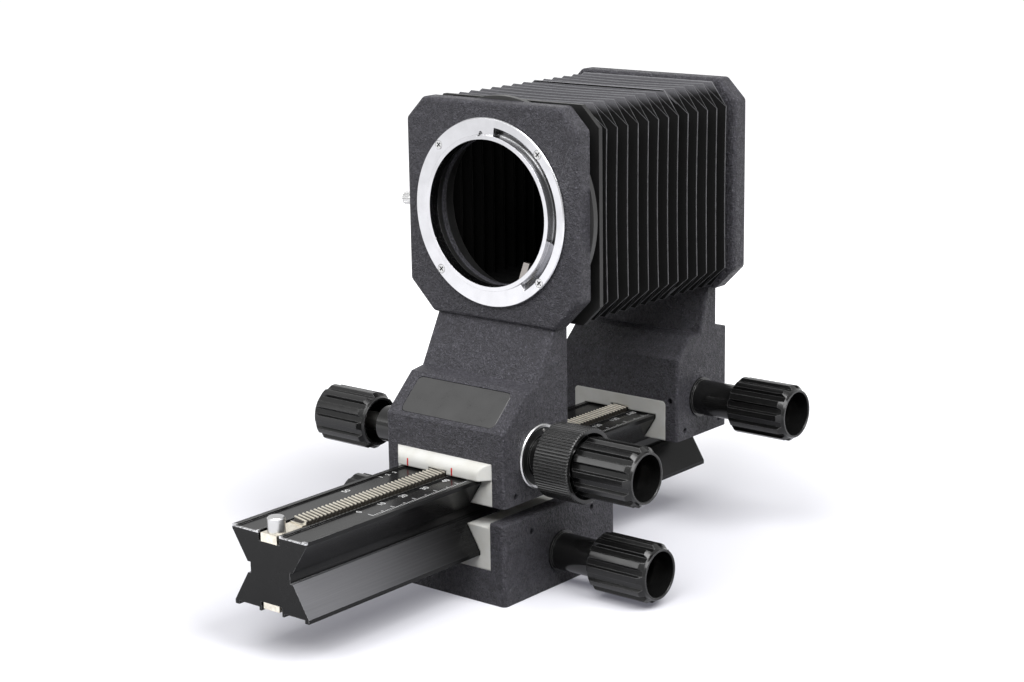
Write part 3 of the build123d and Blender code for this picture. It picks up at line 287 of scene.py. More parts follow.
@dataclass(frozen=True)
class CrinklePaint(Finish):
    """Baked crinkle paint: a dense pebbled skin with painted light and shade on its pebbles and small bright
    flecks as painted glints.
    """

    grain: float = 0.00078
    depth: float = 0.00050
    patch: float = 0.021
    shine: float = 0.22

    def dress(self, r: Recipe) -> None:
        """Pebbles from warped noise, lighter on their tops and darker in their hollows as painted light and
        shade, scattered lighter flecks as painted glints and pale edges as painted highlights.
        """
        pebbles = r.noise(self.grain, detail=2.5, rough=0.62, lumpy=0.9)
        pits = r.noise(self.grain * 3.1, detail=2.0, rough=0.55)
        height = (pebbles * 0.8 + pits * 0.4).steps(0.4, 0.82)
        glint = r.noise(self.grain * 0.7, detail=1.5, rough=0.5).steps(0.6, 0.78)
        patch = r.noise(self.patch, detail=2.5)
        # low is the painted shade in the pebbles' hollows, high the painted light on their tops
        low, high = shaded(self.tone, 0.55, 0.55, 0.55), shaded(self.tone, 1.6, 1.6, 1.65)
        # pale is the tone of the painted glints and of the painted highlight along the edges
        pale = shaded(self.tone, 3.4, 3.4, 3.6)
        skin = r.mix(height * 0.75 + patch * 0.2, low, high)
        glinted = r.mix(glint * 0.8, skin, pale)
        # the sharp-edge mask paints a highlight along the edges
        r.set(Base_Color=r.mix(r.sharp(self.edge * 1.6) * 0.55, glinted, pale),
              Roughness=height.steps(0.0, 1.0, self.roughness + 0.16, self.roughness - 0.06),
              Normal=r.bump(height, self.depth, 0.9, r.soft_edges(self.edge)),
              Specular_IOR_Level=self.shine)


@dataclass(frozen=True)
class GrainedBlack(Finish):
    """Black anodised extrusion with long fine lines, metal worn through at its front edges, and a painted
    sheen on its lower flank near the front end.
    """

    front_wear: float = -0.107        # Y of the front end, where the wear and the painted flank sheen are strongest
    top_height: float = 0.0401
    waist: float = 0.0285
    worn_flank: tuple = colour(0.17, 0.17, 0.18)
    worn_edge: tuple = colour(0.55, 0.55, 0.56)
    shine: float = 0.15

    def dress(self, r: Recipe) -> None:
        """Lines along the bar in colour, gloss and height, worn front edges and a painted sheen on the
        upward-facing lower flank that fades towards the rear.
        """
        lines = r.noise(0.00035, detail=3.0, rough=0.65, stretch=(1, 260, 1))
        broad = r.noise(0.0016, detail=2.0, stretch=(1, 90, 1))
        mottle = r.noise(0.012, detail=2.0)
        shade = lines * 0.45 + broad * 0.25 + mottle * 0.3
        skin = r.mix(shade.steps(0.35, 0.8), grey(self.tone[0] * 0.75), grey(self.tone[0] * 1.5))
        y, z = r.along("Y"), r.along("Z")
        chafe = r.noise(0.0007, detail=3.0, rough=0.7, stretch=(1, 6, 1)).steps(0.32, 0.55)
        corner = r.sharp(0.00022, 0.04, 0.2) * y.steps(self.front_wear, self.front_wear + 0.03, 0.55, 0.05)
        lip = (y.steps(self.front_wear + 0.0005, self.front_wear + 0.0010, 1.0, 0.0)
               * z.steps(self.top_height, self.top_height + 0.0002))
        wear = (corner + lip).at_most(1.0) * chafe
        upward = r.node("ShaderNodeSeparateXYZ", None,
                        {0: r.node("ShaderNodeNewGeometry", out="Normal")}, out="Z")
        # painted sheen: the upward-facing lower flank is lighter and partly metallic, fading towards the
        # rear
        flank_sheen = (upward.steps(0.25, 0.45) * z.steps(self.waist, self.waist + 0.0005, 1.0, 0.0)
                * y.steps(self.front_wear, self.front_wear + 0.075, 1.0, 0.0))
        skin = r.mix(flank_sheen * lines.steps(0.3, 0.7, 0.85, 1.0), skin, self.worn_flank)
        r.set(Base_Color=r.mix(wear, skin, self.worn_edge),
              Metallic=(wear * 0.9).at_least(flank_sheen * 0.55),
              Roughness=shade.steps(0.2, 0.9, self.roughness - 0.05, self.roughness + 0.08),
              Normal=r.bump(lines, 0.000012, 0.35, r.soft_edges(self.edge)),
              Specular_IOR_Level=self.shine)


@dataclass(frozen=True)
class Nylon(Finish):
    """Natural moulded nylon, a little soiled."""

    soil: tuple = colour(0.36, 0.34, 0.30)
    grime: tuple = colour(0.40, 0.37, 0.31)

    def dress(self, r: Recipe) -> None:
        """Faint clouding, a fine moulded skin and a grubby line along its edges."""
        cloud = r.noise(0.006, detail=3.0)
        skin = r.noise(0.0005, detail=2.0)
        soil = r.noise(0.0021, detail=4.0, rough=0.7).steps(0.56, 0.8)
        base = r.mix(cloud.steps(0.3, 0.75), self.tone, shaded(self.tone, 0.92, 0.91, 0.88))
        grubby = r.mix(soil * 0.22, base, self.soil)
        r.set(Base_Color=r.mix(r.sharp(0.0003) * 0.3, grubby, self.grime),
              Roughness=skin.steps(0.2, 0.8, self.roughness - 0.06, self.roughness + 0.1),
              Normal=r.bump(skin, 0.00002, 0.4, r.soft_edges(self.edge)),
              Subsurface_Weight=0.12, Subsurface_Radius=(1.0, 0.9, 0.8), Subsurface_Scale=0.0012)


@dataclass(frozen=True)
class Metal(Finish):
    """Bare or plated metal with fine scratches."""

    scratch: float = 0.0004
    stretch: tuple = (1, 1, 1)
    spread: float = 0.08
    relief: float = 0.000006

    def dress(self, r: Recipe) -> None:
        """Scratches and handling marks in gloss."""
        fine = r.noise(self.scratch, detail=3.0, rough=0.6, stretch=self.stretch)
        wipe = r.noise(0.009, detail=3.0, rough=0.6)
        r.set(Base_Color=r.mix(wipe.steps(0.3, 0.8), self.tone, shaded(self.tone, 0.86, 0.86, 0.86)),
              Metallic=1.0,
              Roughness=(fine * 0.6 + wipe * 0.4).steps(0.25, 0.8, self.roughness,
                                                        self.roughness + self.spread),
              Normal=r.bump(fine, self.relief, 0.35, r.soft_edges(self.edge)))

    def clean(self, r: Recipe) -> Wire:
        """Lay the plain metal and give its base colour."""
        Metal.dress(self, r)
        return Wire(r, r.shader.inputs["Base Color"].links[0].from_socket)


@dataclass(frozen=True)
class RackAlloy(Metal):
    """Milled rack: bright tooth tips over gaps darkened with a brownish painted shade."""

    tip: float = 0.04201
    root: float = 0.04089
    first: float = -0.0945
    last: float = 0.0859
    grease: tuple = colour(0.022, 0.019, 0.015)

    def dress(self, r: Recipe) -> None:
        """The milled metal, darkened towards the tooth roots as painted shade."""
        clean = self.clean(r)
        reach = self.tip - self.root
        y = r.along("Y")
        teeth = (y.steps(self.first, self.first + 0.0002) * y.steps(self.last, self.last + 0.0002, 1.0, 0.0))
        height = r.along("Z").steps(self.root + 0.55 * reach, self.root + 0.97 * reach)
        depth = 1 - teeth * (1 - height)
        uneven_shade = r.noise(0.0011, detail=3.0, rough=0.65).steps(0.35, 0.75, 0.75, 1.0)
        # painted shade in the tooth gaps, made a little uneven by noise
        r.set(Base_Color=r.mix(depth * uneven_shade, self.grease, clean),
              Metallic=depth.steps(0.0, 1.0, 0.2, 1.0))


@dataclass(frozen=True)
class RingChrome(Metal):
    """Bright plating with painted shade down in the ring's groove and index hole."""

    face: float = -0.0038
    floor: float = -0.0022
    inner: float = 0.0255
    outer: float = 0.0281
    dark: tuple = grey(0.13)

    def dress(self, r: Recipe) -> None:
        """The plating, darkened by depth between two radii as painted shade."""
        clean = self.clean(r)
        x, z = r.along("X"), r.along("Z") - AXIS_Z
        radius = (x * x + z * z) ** 0.5
        ring = (radius.steps(self.inner - 0.0001, self.inner)
                * radius.steps(self.outer, self.outer + 0.0001, 1.0, 0.0))
        depth = r.along("Y").steps(self.face, self.floor)
        # painted shade in the groove
        r.set(Base_Color=r.mix(ring * depth, clean, self.dark))


@dataclass(frozen=True)
class CrossScrew(Metal):
    """A plated screw whose cross recess is darkened with painted shade."""

    face: float = -0.00385
    dark: tuple = grey(0.015)

    def dress(self, r: Recipe) -> None:
        """The plating, darkened below the head's face as painted shade."""
        clean = self.clean(r)
        deep = r.along("Y").steps(self.face, self.face + 0.0002)
        # painted shade in the cross recess
        r.set(Base_Color=r.mix(deep, clean, self.dark), Metallic=deep.steps(0.0, 1.0, 1.0, 0.3))


@dataclass(frozen=True)
class GlossBlack(Finish):
    """Moulded or enamelled black with a handled shine."""

    shine: float = 0.5
    dust: tuple = grey(0.10)
    rubbed: tuple = grey(0.15)

    def dress(self, r: Recipe) -> None:
        """Dust, prints and hairlines in gloss, and a painted highlight of lighter grey along the edges."""
        haze = r.noise(0.0032, detail=4.0, rough=0.62)
        hair = r.noise(0.00025, detail=2.0, stretch=(14, 1, 1))
        dust = r.noise(0.00035, detail=2.0, rough=0.7).steps(0.72, 0.84)
        skin = r.mix(dust * 0.18 + haze * 0.03, self.tone, self.dust)
        # the sharp-edge mask paints a grey highlight along the edges
        r.set(Base_Color=r.mix(r.sharp(self.edge * 1.2) * 0.75, skin, self.rubbed),
              Roughness=(haze * 0.7 + hair * 0.3).steps(0.25, 0.8, self.roughness,
                                                        self.roughness + 0.1),
              Normal=r.bump(hair, 0.000004, 0.2, r.soft_edges(self.edge)),
              Specular_IOR_Level=self.shine)


@dataclass(frozen=True)
class SatinBlack(Finish):
    """Thin black paint or anodising on turned and pressed metal."""

    shine: float = 0.3

    def dress(self, r: Recipe) -> None:
        """A fine even tooth with a little unevenness and painted highlights along the edges."""
        tooth = r.noise(0.0002, detail=2.0)
        cloud = r.noise(0.007, detail=3.0)
        skin = r.mix(cloud * 0.5 + tooth * 0.3, grey(self.tone[0] * 0.7), grey(self.tone[0] * 1.5))
        # the sharp-edge mask paints a lighter highlight along the edges
        r.set(Base_Color=r.mix(r.sharp(self.edge) * 0.4, skin, grey(self.tone[0] * 4.5)),
              Roughness=(tooth * 0.5 + cloud * 0.5).steps(0.3, 0.75, self.roughness - 0.07,
                                                          self.roughness + 0.1),
              Normal=r.bump(tooth, 0.00001, 0.5, r.soft_edges(self.edge)),
              Specular_IOR_Level=self.shine)


@dataclass(frozen=True)
class FoldedCloth(Finish):
    """Coated bellows cloth, with painted highlights along the outer folds and painted light on top."""

    dusty_from: float = 0.1530
    dusty_full: float = 0.1565
    dust: tuple = colour(0.095, 0.094, 0.102)
    rubbed: tuple = colour(0.17, 0.17, 0.178)
    shine: float = 0.08

    def dress(self, r: Recipe) -> None:
        """Fine weave, soft stains, painted light on top and painted highlights on the folds that follow the
        pleats.
        """
        fold = r.attribute("fold")
        weave = r.noise(0.00028, detail=2.0, rough=0.6)
        stain = r.noise(0.009, detail=3.0)
        outside = self.outside(r)
        # painted highlight along the outer fold crests
        crest_highlight = fold.steps(0.925, 0.985) * r.noise(0.0018, detail=3.0).steps(0.25, 0.7, 0.6, 1.0) * outside
        # painted light: paler towards the top of the tube, on its outer side
        dust = r.along("Z").steps(self.dusty_from, self.dusty_full) * outside * fold.steps(0.25, 0.85)
        face = r.mix(stain * 0.5 + weave * 0.35, grey(self.tone[0] * 0.6), grey(self.tone[0] * 1.6))
        top_lit = r.mix(dust * weave.steps(0.2, 0.8, 0.55, 1.0), face, self.dust)
        r.set(Base_Color=r.mix(crest_highlight, top_lit, self.rubbed),
              Roughness=weave.steps(0.25, 0.75, self.roughness - 0.08, self.roughness + 0.1),
              Normal=r.bump(weave, 0.00003, 0.55), Specular_IOR_Level=self.shine)

    def outside(self, r: Recipe) -> Wire:
        """A mask that is 1 on the tube's outer side and 0 inside it."""
        here = r.node("ShaderNodeTexCoord", out="Object")
        spoke = r.node("ShaderNodeVectorMath", {"operation": "SUBTRACT"}, {0: here, 1: (0, 0, AXIS_Z)})
        flat = r.node("ShaderNodeVectorMath", {"operation": "MULTIPLY"}, {0: spoke, 1: (1, 0, 1)})
        facing = r.node("ShaderNodeNewGeometry", out="Normal")
        return r.node("ShaderNodeVectorMath", {"operation": "DOT_PRODUCT"}, {0: facing, 1: flat},
                      out="Value").steps(-0.001, 0.001)


@dataclass(frozen=True)
class Enamel(Finish):
    """A small paint-filled mark."""

    def dress(self, r: Recipe) -> None:
        """Slight unevenness of hand-filled paint."""
        blot = r.noise(0.0008, detail=2.0)
        r.set(Base_Color=r.mix(blot, self.tone, shaded(self.tone, 0.7, 0.7, 0.7)))


class Paint(Enum):
    """Every finish on the unit."""

    CRINKLE = CrinklePaint("crinkle_paint", colour(0.038, 0.037, 0.0425), roughness=0.40, edge=0.0003)
    RAIL = GrainedBlack("black_anodised", grey(0.0065), roughness=0.22, edge=0.00012)
    NYLON = Nylon("nylon", colour(0.53, 0.53, 0.512), roughness=0.46, edge=0.0007)
    RACK = RackAlloy("rack_alloy", colour(0.86, 0.81, 0.70), roughness=0.34, edge=0.00006,
                     scratch=0.0005, stretch=(1, 12, 1), spread=0.12)
    LOWER_RACK = replace(RACK, name="lower_rack_alloy", tip=0.01536, root=0.01648,
                         first=-0.091, last=0.0814)
    RING = RingChrome("ring_chrome", colour(0.52, 0.52, 0.535), roughness=0.15, edge=0.00012,
                      scratch=0.0006, spread=0.07)
    CHROME = Metal("chrome", grey(0.66), roughness=0.15, edge=0.00012, scratch=0.0006, spread=0.07)
    CROSS = CrossScrew("cross_screw", grey(0.50), roughness=0.26, edge=0.0001, scratch=0.0005,
                       spread=0.1)
    LEVER = Metal("lever_bronze", colour(0.27, 0.25, 0.235), roughness=0.30, edge=0.0001, spread=0.12)
    PIN = Metal("satin_chrome", grey(0.50), roughness=0.26, edge=0.00015, scratch=0.0005, spread=0.1)
    STEEL = Metal("steel", colour(0.44, 0.43, 0.41), roughness=0.28, edge=0.0001, spread=0.12)
    BRASS = Metal("pinion_brass", colour(0.72, 0.52, 0.24), roughness=0.3, edge=0.00006)
    KNOB = GlossBlack("knob_black", grey(0.004), roughness=0.17, edge=0.0003, shine=0.32)
    SLEEVE = GlossBlack("sleeve_black", grey(0.005), roughness=0.12, edge=0.0002, shine=0.38)
    SATIN = SatinBlack("satin_black", grey(0.010), roughness=0.40, edge=0.00018)
    DISC = SatinBlack("disc_paint", grey(0.030), roughness=0.38, edge=0.00025)
    SCREW = SatinBlack("blackened_screw", grey(0.008), roughness=0.36, edge=0.0001)
    PLATE = SatinBlack("plate_black", colour(0.040, 0.040, 0.043), roughness=0.32, edge=0.0001)
    CLOTH = FoldedCloth("bellows_cloth", grey(0.003), roughness=0.62)
    RED = Enamel("red_mark", colour(0.55, 0.02, 0.02), roughness=0.4)
    WHITE = Enamel("engraved_white", grey(0.62), roughness=0.45)


class Shop:
    """Makes each finish once and puts it on pieces."""

    def __init__(self) -> None:
        """Start with no materials."""
        self.made: dict = {}

    def material(self, paint: Paint) -> bpy.types.Material:
        """The material of a finish, made at its first use."""
        if paint not in self.made:
            self.made[paint] = paint.value.build()
        return self.made[paint]

    def coat(self, piece: bpy.types.Object, paint: Paint) -> None:
        """Put a finish on a piece or a CAD node."""
        material = self.material(paint)
        if not piece.material_slots:
            piece.data.materials.append(material)
        for slot in piece.material_slots:
            slot.material = material


# ------------------------------------------------------------------ modelling helpers
def nothing_selected() -> None:
    """Deselect every object."""
    if bpy.context.object and bpy.context.object.mode != "OBJECT":
        bpy.ops.object.mode_set(mode="OBJECT")
    bpy.ops.object.select_all(action="DESELECT")


def take(piece: bpy.types.Object) -> None:
    """Make a piece the only selected and the active one."""
    nothing_selected()
    piece.select_set(True)
    bpy.context.view_layer.objects.active = piece


def named(name: str) -> bpy.types.Object:
    """Name the active object and its mesh."""
    piece = bpy.context.active_object
    piece.name = name
    piece.data.name = name
    return piece


def settle(piece: bpy.types.Object) -> None:
    """Bring a piece's object to the origin, with its place in its mesh."""
    take(piece)
    bpy.ops.object.transform_apply(location=True, rotation=True, scale=True)


def apply_modifier(piece: bpy.types.Object, kind: str, **settings: object) -> None:
    """Add a modifier with settings and apply it."""
    take(piece)
    made = piece.modifiers.new(kind.title(), kind)
    for key, value in settings.items():
        setattr(made, key, value)
    bpy.ops.object.modifier_apply(modifier=made.name)


def pick(piece: bpy.types.Object, kind: str, test: Callable) -> None:
    """Select the faces or edges that pass a test, and enter edit mode.

    Args:
        piece: the piece to edit.
        kind: FACE or EDGE.
        test: takes a face's centre and normal, or an edge's two ends.
    """
    take(piece)
    bpy.ops.object.mode_set(mode="EDIT")
    bpy.ops.mesh.select_mode(type=kind)
    bpy.ops.mesh.select_all(action="DESELECT")
    bpy.ops.object.mode_set(mode="OBJECT")
    mesh = piece.data
    if kind == "FACE":
        for face in mesh.polygons:
            face.select = test(face.center, face.normal)
    else:
        for edge in mesh.edges:
            a, b = (mesh.vertices[i].co for i in edge.vertices)
            edge.select = test(a, b)
    bpy.ops.object.mode_set(mode="EDIT")


def leave_edit() -> None:
    """Go back to object mode."""
    bpy.ops.object.mode_set(mode="OBJECT")


def smooth(piece: bpy.types.Object, angle: float = 35.0) -> None:
    """Shade smooth except across sharp edges."""
    take(piece)
    bpy.ops.object.shade_smooth_by_angle(angle=radians(angle))


# ------------------------------------------------------------------ bellows
@dataclass
class Bellows:
    """The pleated cloth tube, in two lengths that meet in a valley."""

    shop: Shop
    start: float = 10.2 * MM
    end: float = 83.2 * MM
    pleats: int = 13
    front_pleats: int = 8
    half_width: float = 35.5 * MM
    half_height: float = 35.6 * MM
    depth: float = 7.0 * MM
    corner_cut: float = 6.46 * MM
    corner_share: float = 0.774       # where a side ends, as a share of the half size
    wall: float = 0.45 * MM
    fold_width: float = 0.22 * MM
    long_edge: float = 20 * MM        # shortest edge that is cut to bend along a side
    sag: float = 0.35 * MM            # how far the middle of a fold is drawn inwards
    uneven_out: float = 0.12 * MM
    uneven_along: float = 0.16 * MM
    slack_share: float = 0.8          # the unevenness ends here, as a share of the half width
    level: float = 1e-5               # points this close in Y lie in one fold
    end_zone: float = 1e-4            # points this close to an open end stay put
    seed: int = 7

    @property
    def pitch(self) -> float:
        """Length of one pleat."""
        return (self.end - self.start) / self.pleats

    def valley(self, count: int) -> float:
        """Y of the valley after a number of pleats."""
        return self.start + count * self.pitch

    def build(self) -> list:
        """Make both lengths and hide the CAD bellows.

        Returns:
            The two pieces.
        """
        middle = self.valley(self.front_pleats)
        front = self.tube("bellows_front_length", self.start, self.front_pleats)
        rear = self.tube("bellows_rear_length", middle, self.pleats - self.front_pleats)
        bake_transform(front)
        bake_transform(rear)
        for piece in (front, rear):
            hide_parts("bellows")
        return [front, rear]

    def tube(self, name: str, start: float, pleats: int) -> bpy.types.Object:
        """Extrude an eight-sided ring by half pleats, then fold it.

        Args:
            name: the piece's name.
            start: Y of its first valley.
            pleats: how many pleats.

        Returns:
            The piece.
        """
        nothing_selected()
        bpy.ops.mesh.primitive_plane_add(size=2.0, location=(0, start, AXIS_Z), rotation=(pi / 2, 0, 0))
        piece = named(name)
        piece.scale = (self.half_width - self.depth, self.half_height - self.depth, 1)
        settle(piece)
        bpy.ops.object.mode_set(mode="EDIT")
        bpy.ops.mesh.select_all(action="SELECT")
        bpy.ops.mesh.bevel(affect="VERTICES", offset=self.corner_cut, segments=1)
        bpy.ops.mesh.delete(type="ONLY_FACE")
        bpy.ops.mesh.select_mode(type="EDGE")
        bpy.ops.mesh.select_all(action="SELECT")
        for _ in range(2 * pleats):
            bpy.ops.mesh.extrude_edges_move(
                TRANSFORM_OT_translate={"value": (0, self.pitch / 2, 0), "orient_type": "GLOBAL"})
        bpy.ops.mesh.select_all(action="SELECT")
        bpy.ops.mesh.normals_make_consistent(inside=False)
        leave_edit()
        self.alternate(piece, start)
        self.slacken(piece, start)
        self.shop.coat(piece, Paint.CLOTH)
        return piece

    def alternate(self, piece: bpy.types.Object, start: float) -> None:
        """Fold the sides, and top and bottom half a pleat away from them, and crease the corners.

        Args:
            piece: the straight tube.
            start: Y of its first valley.
        """
        end_z, end_x = self.half_height * self.corner_share, self.half_width * self.corner_share
        for vertex in piece.data.vertices:
            odd = round((vertex.co.y - start) / (self.pitch / 2)) % 2 == 1
            x, z = vertex.co.x, vertex.co.z - AXIS_Z
            if self.on_side(vertex.co):
                reach = self.half_width - (0 if odd else self.depth)
                vertex.co.x, vertex.co.z = copysign(reach, x), AXIS_Z + copysign(end_z, z)
            else:
                reach = self.half_height - (self.depth if odd else 0)
                vertex.co.x, vertex.co.z = copysign(end_x, x), AXIS_Z + copysign(reach, z)
        pick(piece, "FACE", lambda at, normal: min(abs(at.x), abs(at.z - AXIS_Z)) > self.half_width / 2)
        bpy.ops.mesh.quads_convert_to_tris(quad_method="LONGEST_DIAGONAL")
        leave_edit()

    @staticmethod
    def on_side(at: Vector) -> bool:
        """True for a point of the left or right side, false for top and bottom."""
        return abs(at.x) > abs(at.z - AXIS_Z)

    def slacken(self, piece: bpy.types.Object, start: float) -> None:
        """Give the cloth rounded folds, a wall and small unevenness.

        Args:
            piece: the folded tube.
            start: Y of its first valley.
        """
        ends = (start, max(v.co.y for v in piece.data.vertices))

        def along_fold(a: Vector, b: Vector) -> bool:
            """True for an edge that lies in one fold, not at an open end."""
            return abs(a.y - b.y) < self.level < min(abs(a.y - e) for e in ends)

        pick(piece, "EDGE", along_fold)
        bpy.ops.mesh.bevel(offset=self.fold_width, segments=2, affect="EDGES", clamp_overlap=True)
        leave_edit()

        def long_side(a: Vector, b: Vector) -> bool:
            """True for an edge along a long side of the tube."""
            return abs(a.y - b.y) < self.level and (a - b).length > self.long_edge

        pick(piece, "EDGE", long_side)
        bpy.ops.mesh.subdivide(number_cuts=6)
        leave_edit()
        fold = piece.data.attributes.new("fold", "FLOAT", "POINT")
        for vertex in piece.data.vertices:
            phase = ((vertex.co.y - self.start) / self.pitch) % 1.0
            outward = 1.0 - abs(phase - 0.5) * 2
            fold.data[vertex.index].value = outward if self.on_side(vertex.co) else 1.0 - outward
        rng = random.Random(self.seed)
        shifts: dict = {}
        for vertex in piece.data.vertices:
            off = vertex.co - Vector((0, vertex.co.y, AXIS_Z))
            reach = max(abs(off.x) / self.half_width, abs(off.z) / self.half_height)
            key = round((vertex.co.y - start) / (self.pitch / 2))
            if key not in shifts:
                shifts[key] = (rng.uniform(-1, 1), rng.uniform(-1, 1))
            out, along = shifts[key]
            from_middle = min(abs(off.x), abs(off.z)) / self.half_width
            ease = max(0.0, 1 - (from_middle / self.slack_share) ** 2)
            if min(abs(vertex.co.y - e) for e in ends) > self.end_zone:
                pull = -self.sag * ease * reach
                vertex.co += off.normalized() * (pull + self.uneven_out * out * ease)
                vertex.co.y += self.uneven_along * along * ease
        apply_modifier(piece, "SOLIDIFY", thickness=self.wall, offset=-1.0)
        smooth(piece, 28.0)


# ------------------------------------------------------------------ small marks
@dataclass
class FocusMarks:
    """Two red lines on the front liner's nose that read against the rail's scales."""

    shop: Shop
    face_y: float = -31.6 * MM
    places: tuple = (-12.7 * MM, 6.1 * MM)
    low: float = 41.2 * MM
    high: float = 43.75 * MM
    width: float = 0.55 * MM
    proud: float = 0.05 * MM
    level: float = 1e-6

    def build(self) -> list:
        """Make both marks.

        Returns:
            The pieces.
        """
        pieces = []
        for index, x in enumerate(self.places):
            nothing_selected()
            bpy.ops.mesh.primitive_cube_add(
                size=1.0, location=(x, self.face_y, (self.low + self.high) / 2))
            piece = named(f"focus_mark_{index + 1}")
            piece.scale = (self.width, 2 * self.proud, self.high - self.low)
            settle(piece)
            pick(piece, "EDGE", self.upper_side)
            bpy.ops.mesh.bevel(offset=self.width * 0.3, segments=3, affect="EDGES")
            leave_edit()
            apply_modifier(piece, "BEVEL", width=self.proud * 0.5, segments=2)
            smooth(piece)
            self.shop.coat(piece, Paint.RED)
            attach(piece, "front_standard")
            pieces.append(piece)
        return pieces

    def upper_side(self, a: Vector, b: Vector) -> bool:
        """True for an upper edge that runs from front to back."""
        return max(abs(a.z - self.high), abs(b.z - self.high), abs(a.x - b.x)) < self.level


@dataclass
class RailScales:
    """The paint-filled numbers and lines along the top of the rail."""

    shop: Shop
    face_z: float = 40.45 * MM
    zero_y: float = -75.1 * MM
    last_mm: int = 150
    numbers_x: float = 7.5 * MM
    number_size: float = 3.0 * MM
    line_end_x: float = 13.35 * MM
    line_lengths: tuple = (1.5 * MM, 2.2 * MM, 3.1 * MM)
    line_width: float = 0.22 * MM
    proud: float = 0.015 * MM
    side_numbers: tuple = (("50", -10.4 * MM, -62.0 * MM, 3.0 * MM),
                           ("1", -11.9 * MM, -44.4 * MM, 2.4 * MM),
                           ("2", -11.9 * MM, -41.2 * MM, 2.4 * MM),
                           ("3", -11.9 * MM, -38.0 * MM, 2.4 * MM))

    def build(self) -> list:
        """Make the numbers and the lines.

        Returns:
            The pieces.
        """
        numbers = [self.number(str(mm), self.numbers_x, self.zero_y + mm * MM, self.number_size)
                   for mm in range(0, self.last_mm + 1, 10)]
        numbers += [self.number(*entry) for entry in self.side_numbers]
        lines = [self.line(mm) for mm in range(0, self.last_mm + 1)]
        return [self.join("rail_numbers", numbers), self.join("rail_lines", lines)]

    def number(self, text: str, x: float, y: float, size: float) -> bpy.types.Object:
        """One number, its baseline along the rail and its top towards the left.

        Args:
            text: the digits.
            x: place of the baseline.
            y: middle of the number along the rail.
            size: the font's size.

        Returns:
            The number as a thin mesh.
        """
        nothing_selected()
        bpy.ops.object.text_add(location=(0, 0, 0))
        piece = bpy.context.active_object
        piece.data.body = text
        piece.data.size = size
        piece.data.align_x = "CENTER"
        piece.data.extrude = self.proud
        piece.data.resolution_u = 4
        bpy.ops.object.convert(target="MESH")
        piece = bpy.context.active_object
        piece.location = (x, y, self.face_z)
        piece.rotation_euler = (0, 0, pi / 2)
        settle(piece)
        return piece

    def line(self, mm: int) -> bpy.types.Object:
        """One line of the scale, longer at each fifth and tenth millimetre."""
        length = self.line_lengths[2 if mm % 10 == 0 else 1 if mm % 5 == 0 else 0]
        nothing_selected()
        bpy.ops.mesh.primitive_cube_add(
            size=1.0, location=(self.line_end_x - length / 2, self.zero_y + mm * MM, self.face_z))
        piece = bpy.context.active_object
        piece.scale = (length, self.line_width, 2 * self.proud)
        settle(piece)
        return piece

    def join(self, name: str, parts: list) -> bpy.types.Object:
        """Join parts into one piece that rides on the rail."""
        nothing_selected()
        for part in parts:
            part.select_set(True)
        bpy.context.view_layer.objects.active = parts[0]
        bpy.ops.object.join()
        piece = named(name)
        settle(piece)
        self.shop.coat(piece, Paint.WHITE)
        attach(piece, "rail")
        return piece


# ------------------------------------------------------------------ CAD nodes
@dataclass
class CadDress:
    """Finishes for the CAD nodes that stay visible."""

    shop: Shop
    own: dict = field(default_factory=lambda: {
        Paint.CRINKLE: ["carriage_housing", "front_casting", "rear_casting"],
        Paint.NYLON: ["carriage_insert", "front_insert", "rear_insert"],
        Paint.RAIL: ["rail"],
        Paint.RACK: ["upper_rack"],
        Paint.LOWER_RACK: ["lower_rack"],
        Paint.RING: ["lens_ring"],
        Paint.CHROME: ["camera_bayonet"],
        Paint.CROSS: ["lens_ring_screws"],
        Paint.LEVER: ["aperture_lever"],
        Paint.PIN: ["stop_pins", "cable_socket", "seat_ring", "camera_bayonet_screws"],
        Paint.STEEL: ["tripod_bush", "rack_stop_screws", "release_plunger",
                      "seat_screws", "turntable_lock"],
        Paint.SCREW: ["carriage_grub_screws", "front_grub_screws", "rear_grub_screws",
                      "rear_insert_screw"],
        Paint.DISC: ["retaining_disc"],
        Paint.SATIN: ["aperture_ring", "seat_plate", "bellows_front_frame", "bellows_rear_frame",
                      "camera_turntable", "turntable_retainer"],
        Paint.PLATE: ["nameplate"],
        Paint.KNOB: ["friction_ring"],
    })

    def build(self) -> None:
        """Put a finish on every node."""
        table = {node: paint for paint, nodes in self.own.items() for node in nodes}
        for drive in ("front", "rear", "carriage"):
            table.update({f"{drive}_shaft": Paint.STEEL, f"{drive}_pinion": Paint.BRASS,
                          f"{drive}_sleeve_right": Paint.SLEEVE, f"{drive}_sleeve_left": Paint.SLEEVE,
                          f"{drive}_knob": Paint.KNOB, f"{drive}_knob_screw": Paint.STEEL,
                          f"{drive}_lock_stud": Paint.STEEL, f"{drive}_lock_knob": Paint.KNOB})
        for node, paint in table.items():
            self.shop.coat(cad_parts[node], paint)


# ------------------------------------------------------------------ studio
@dataclass(frozen=True)
class Lamp:
    """A rectangular soft lamp: its place, its width and height, and its watts."""

    name: str
    at: tuple
    size: tuple
    power: float


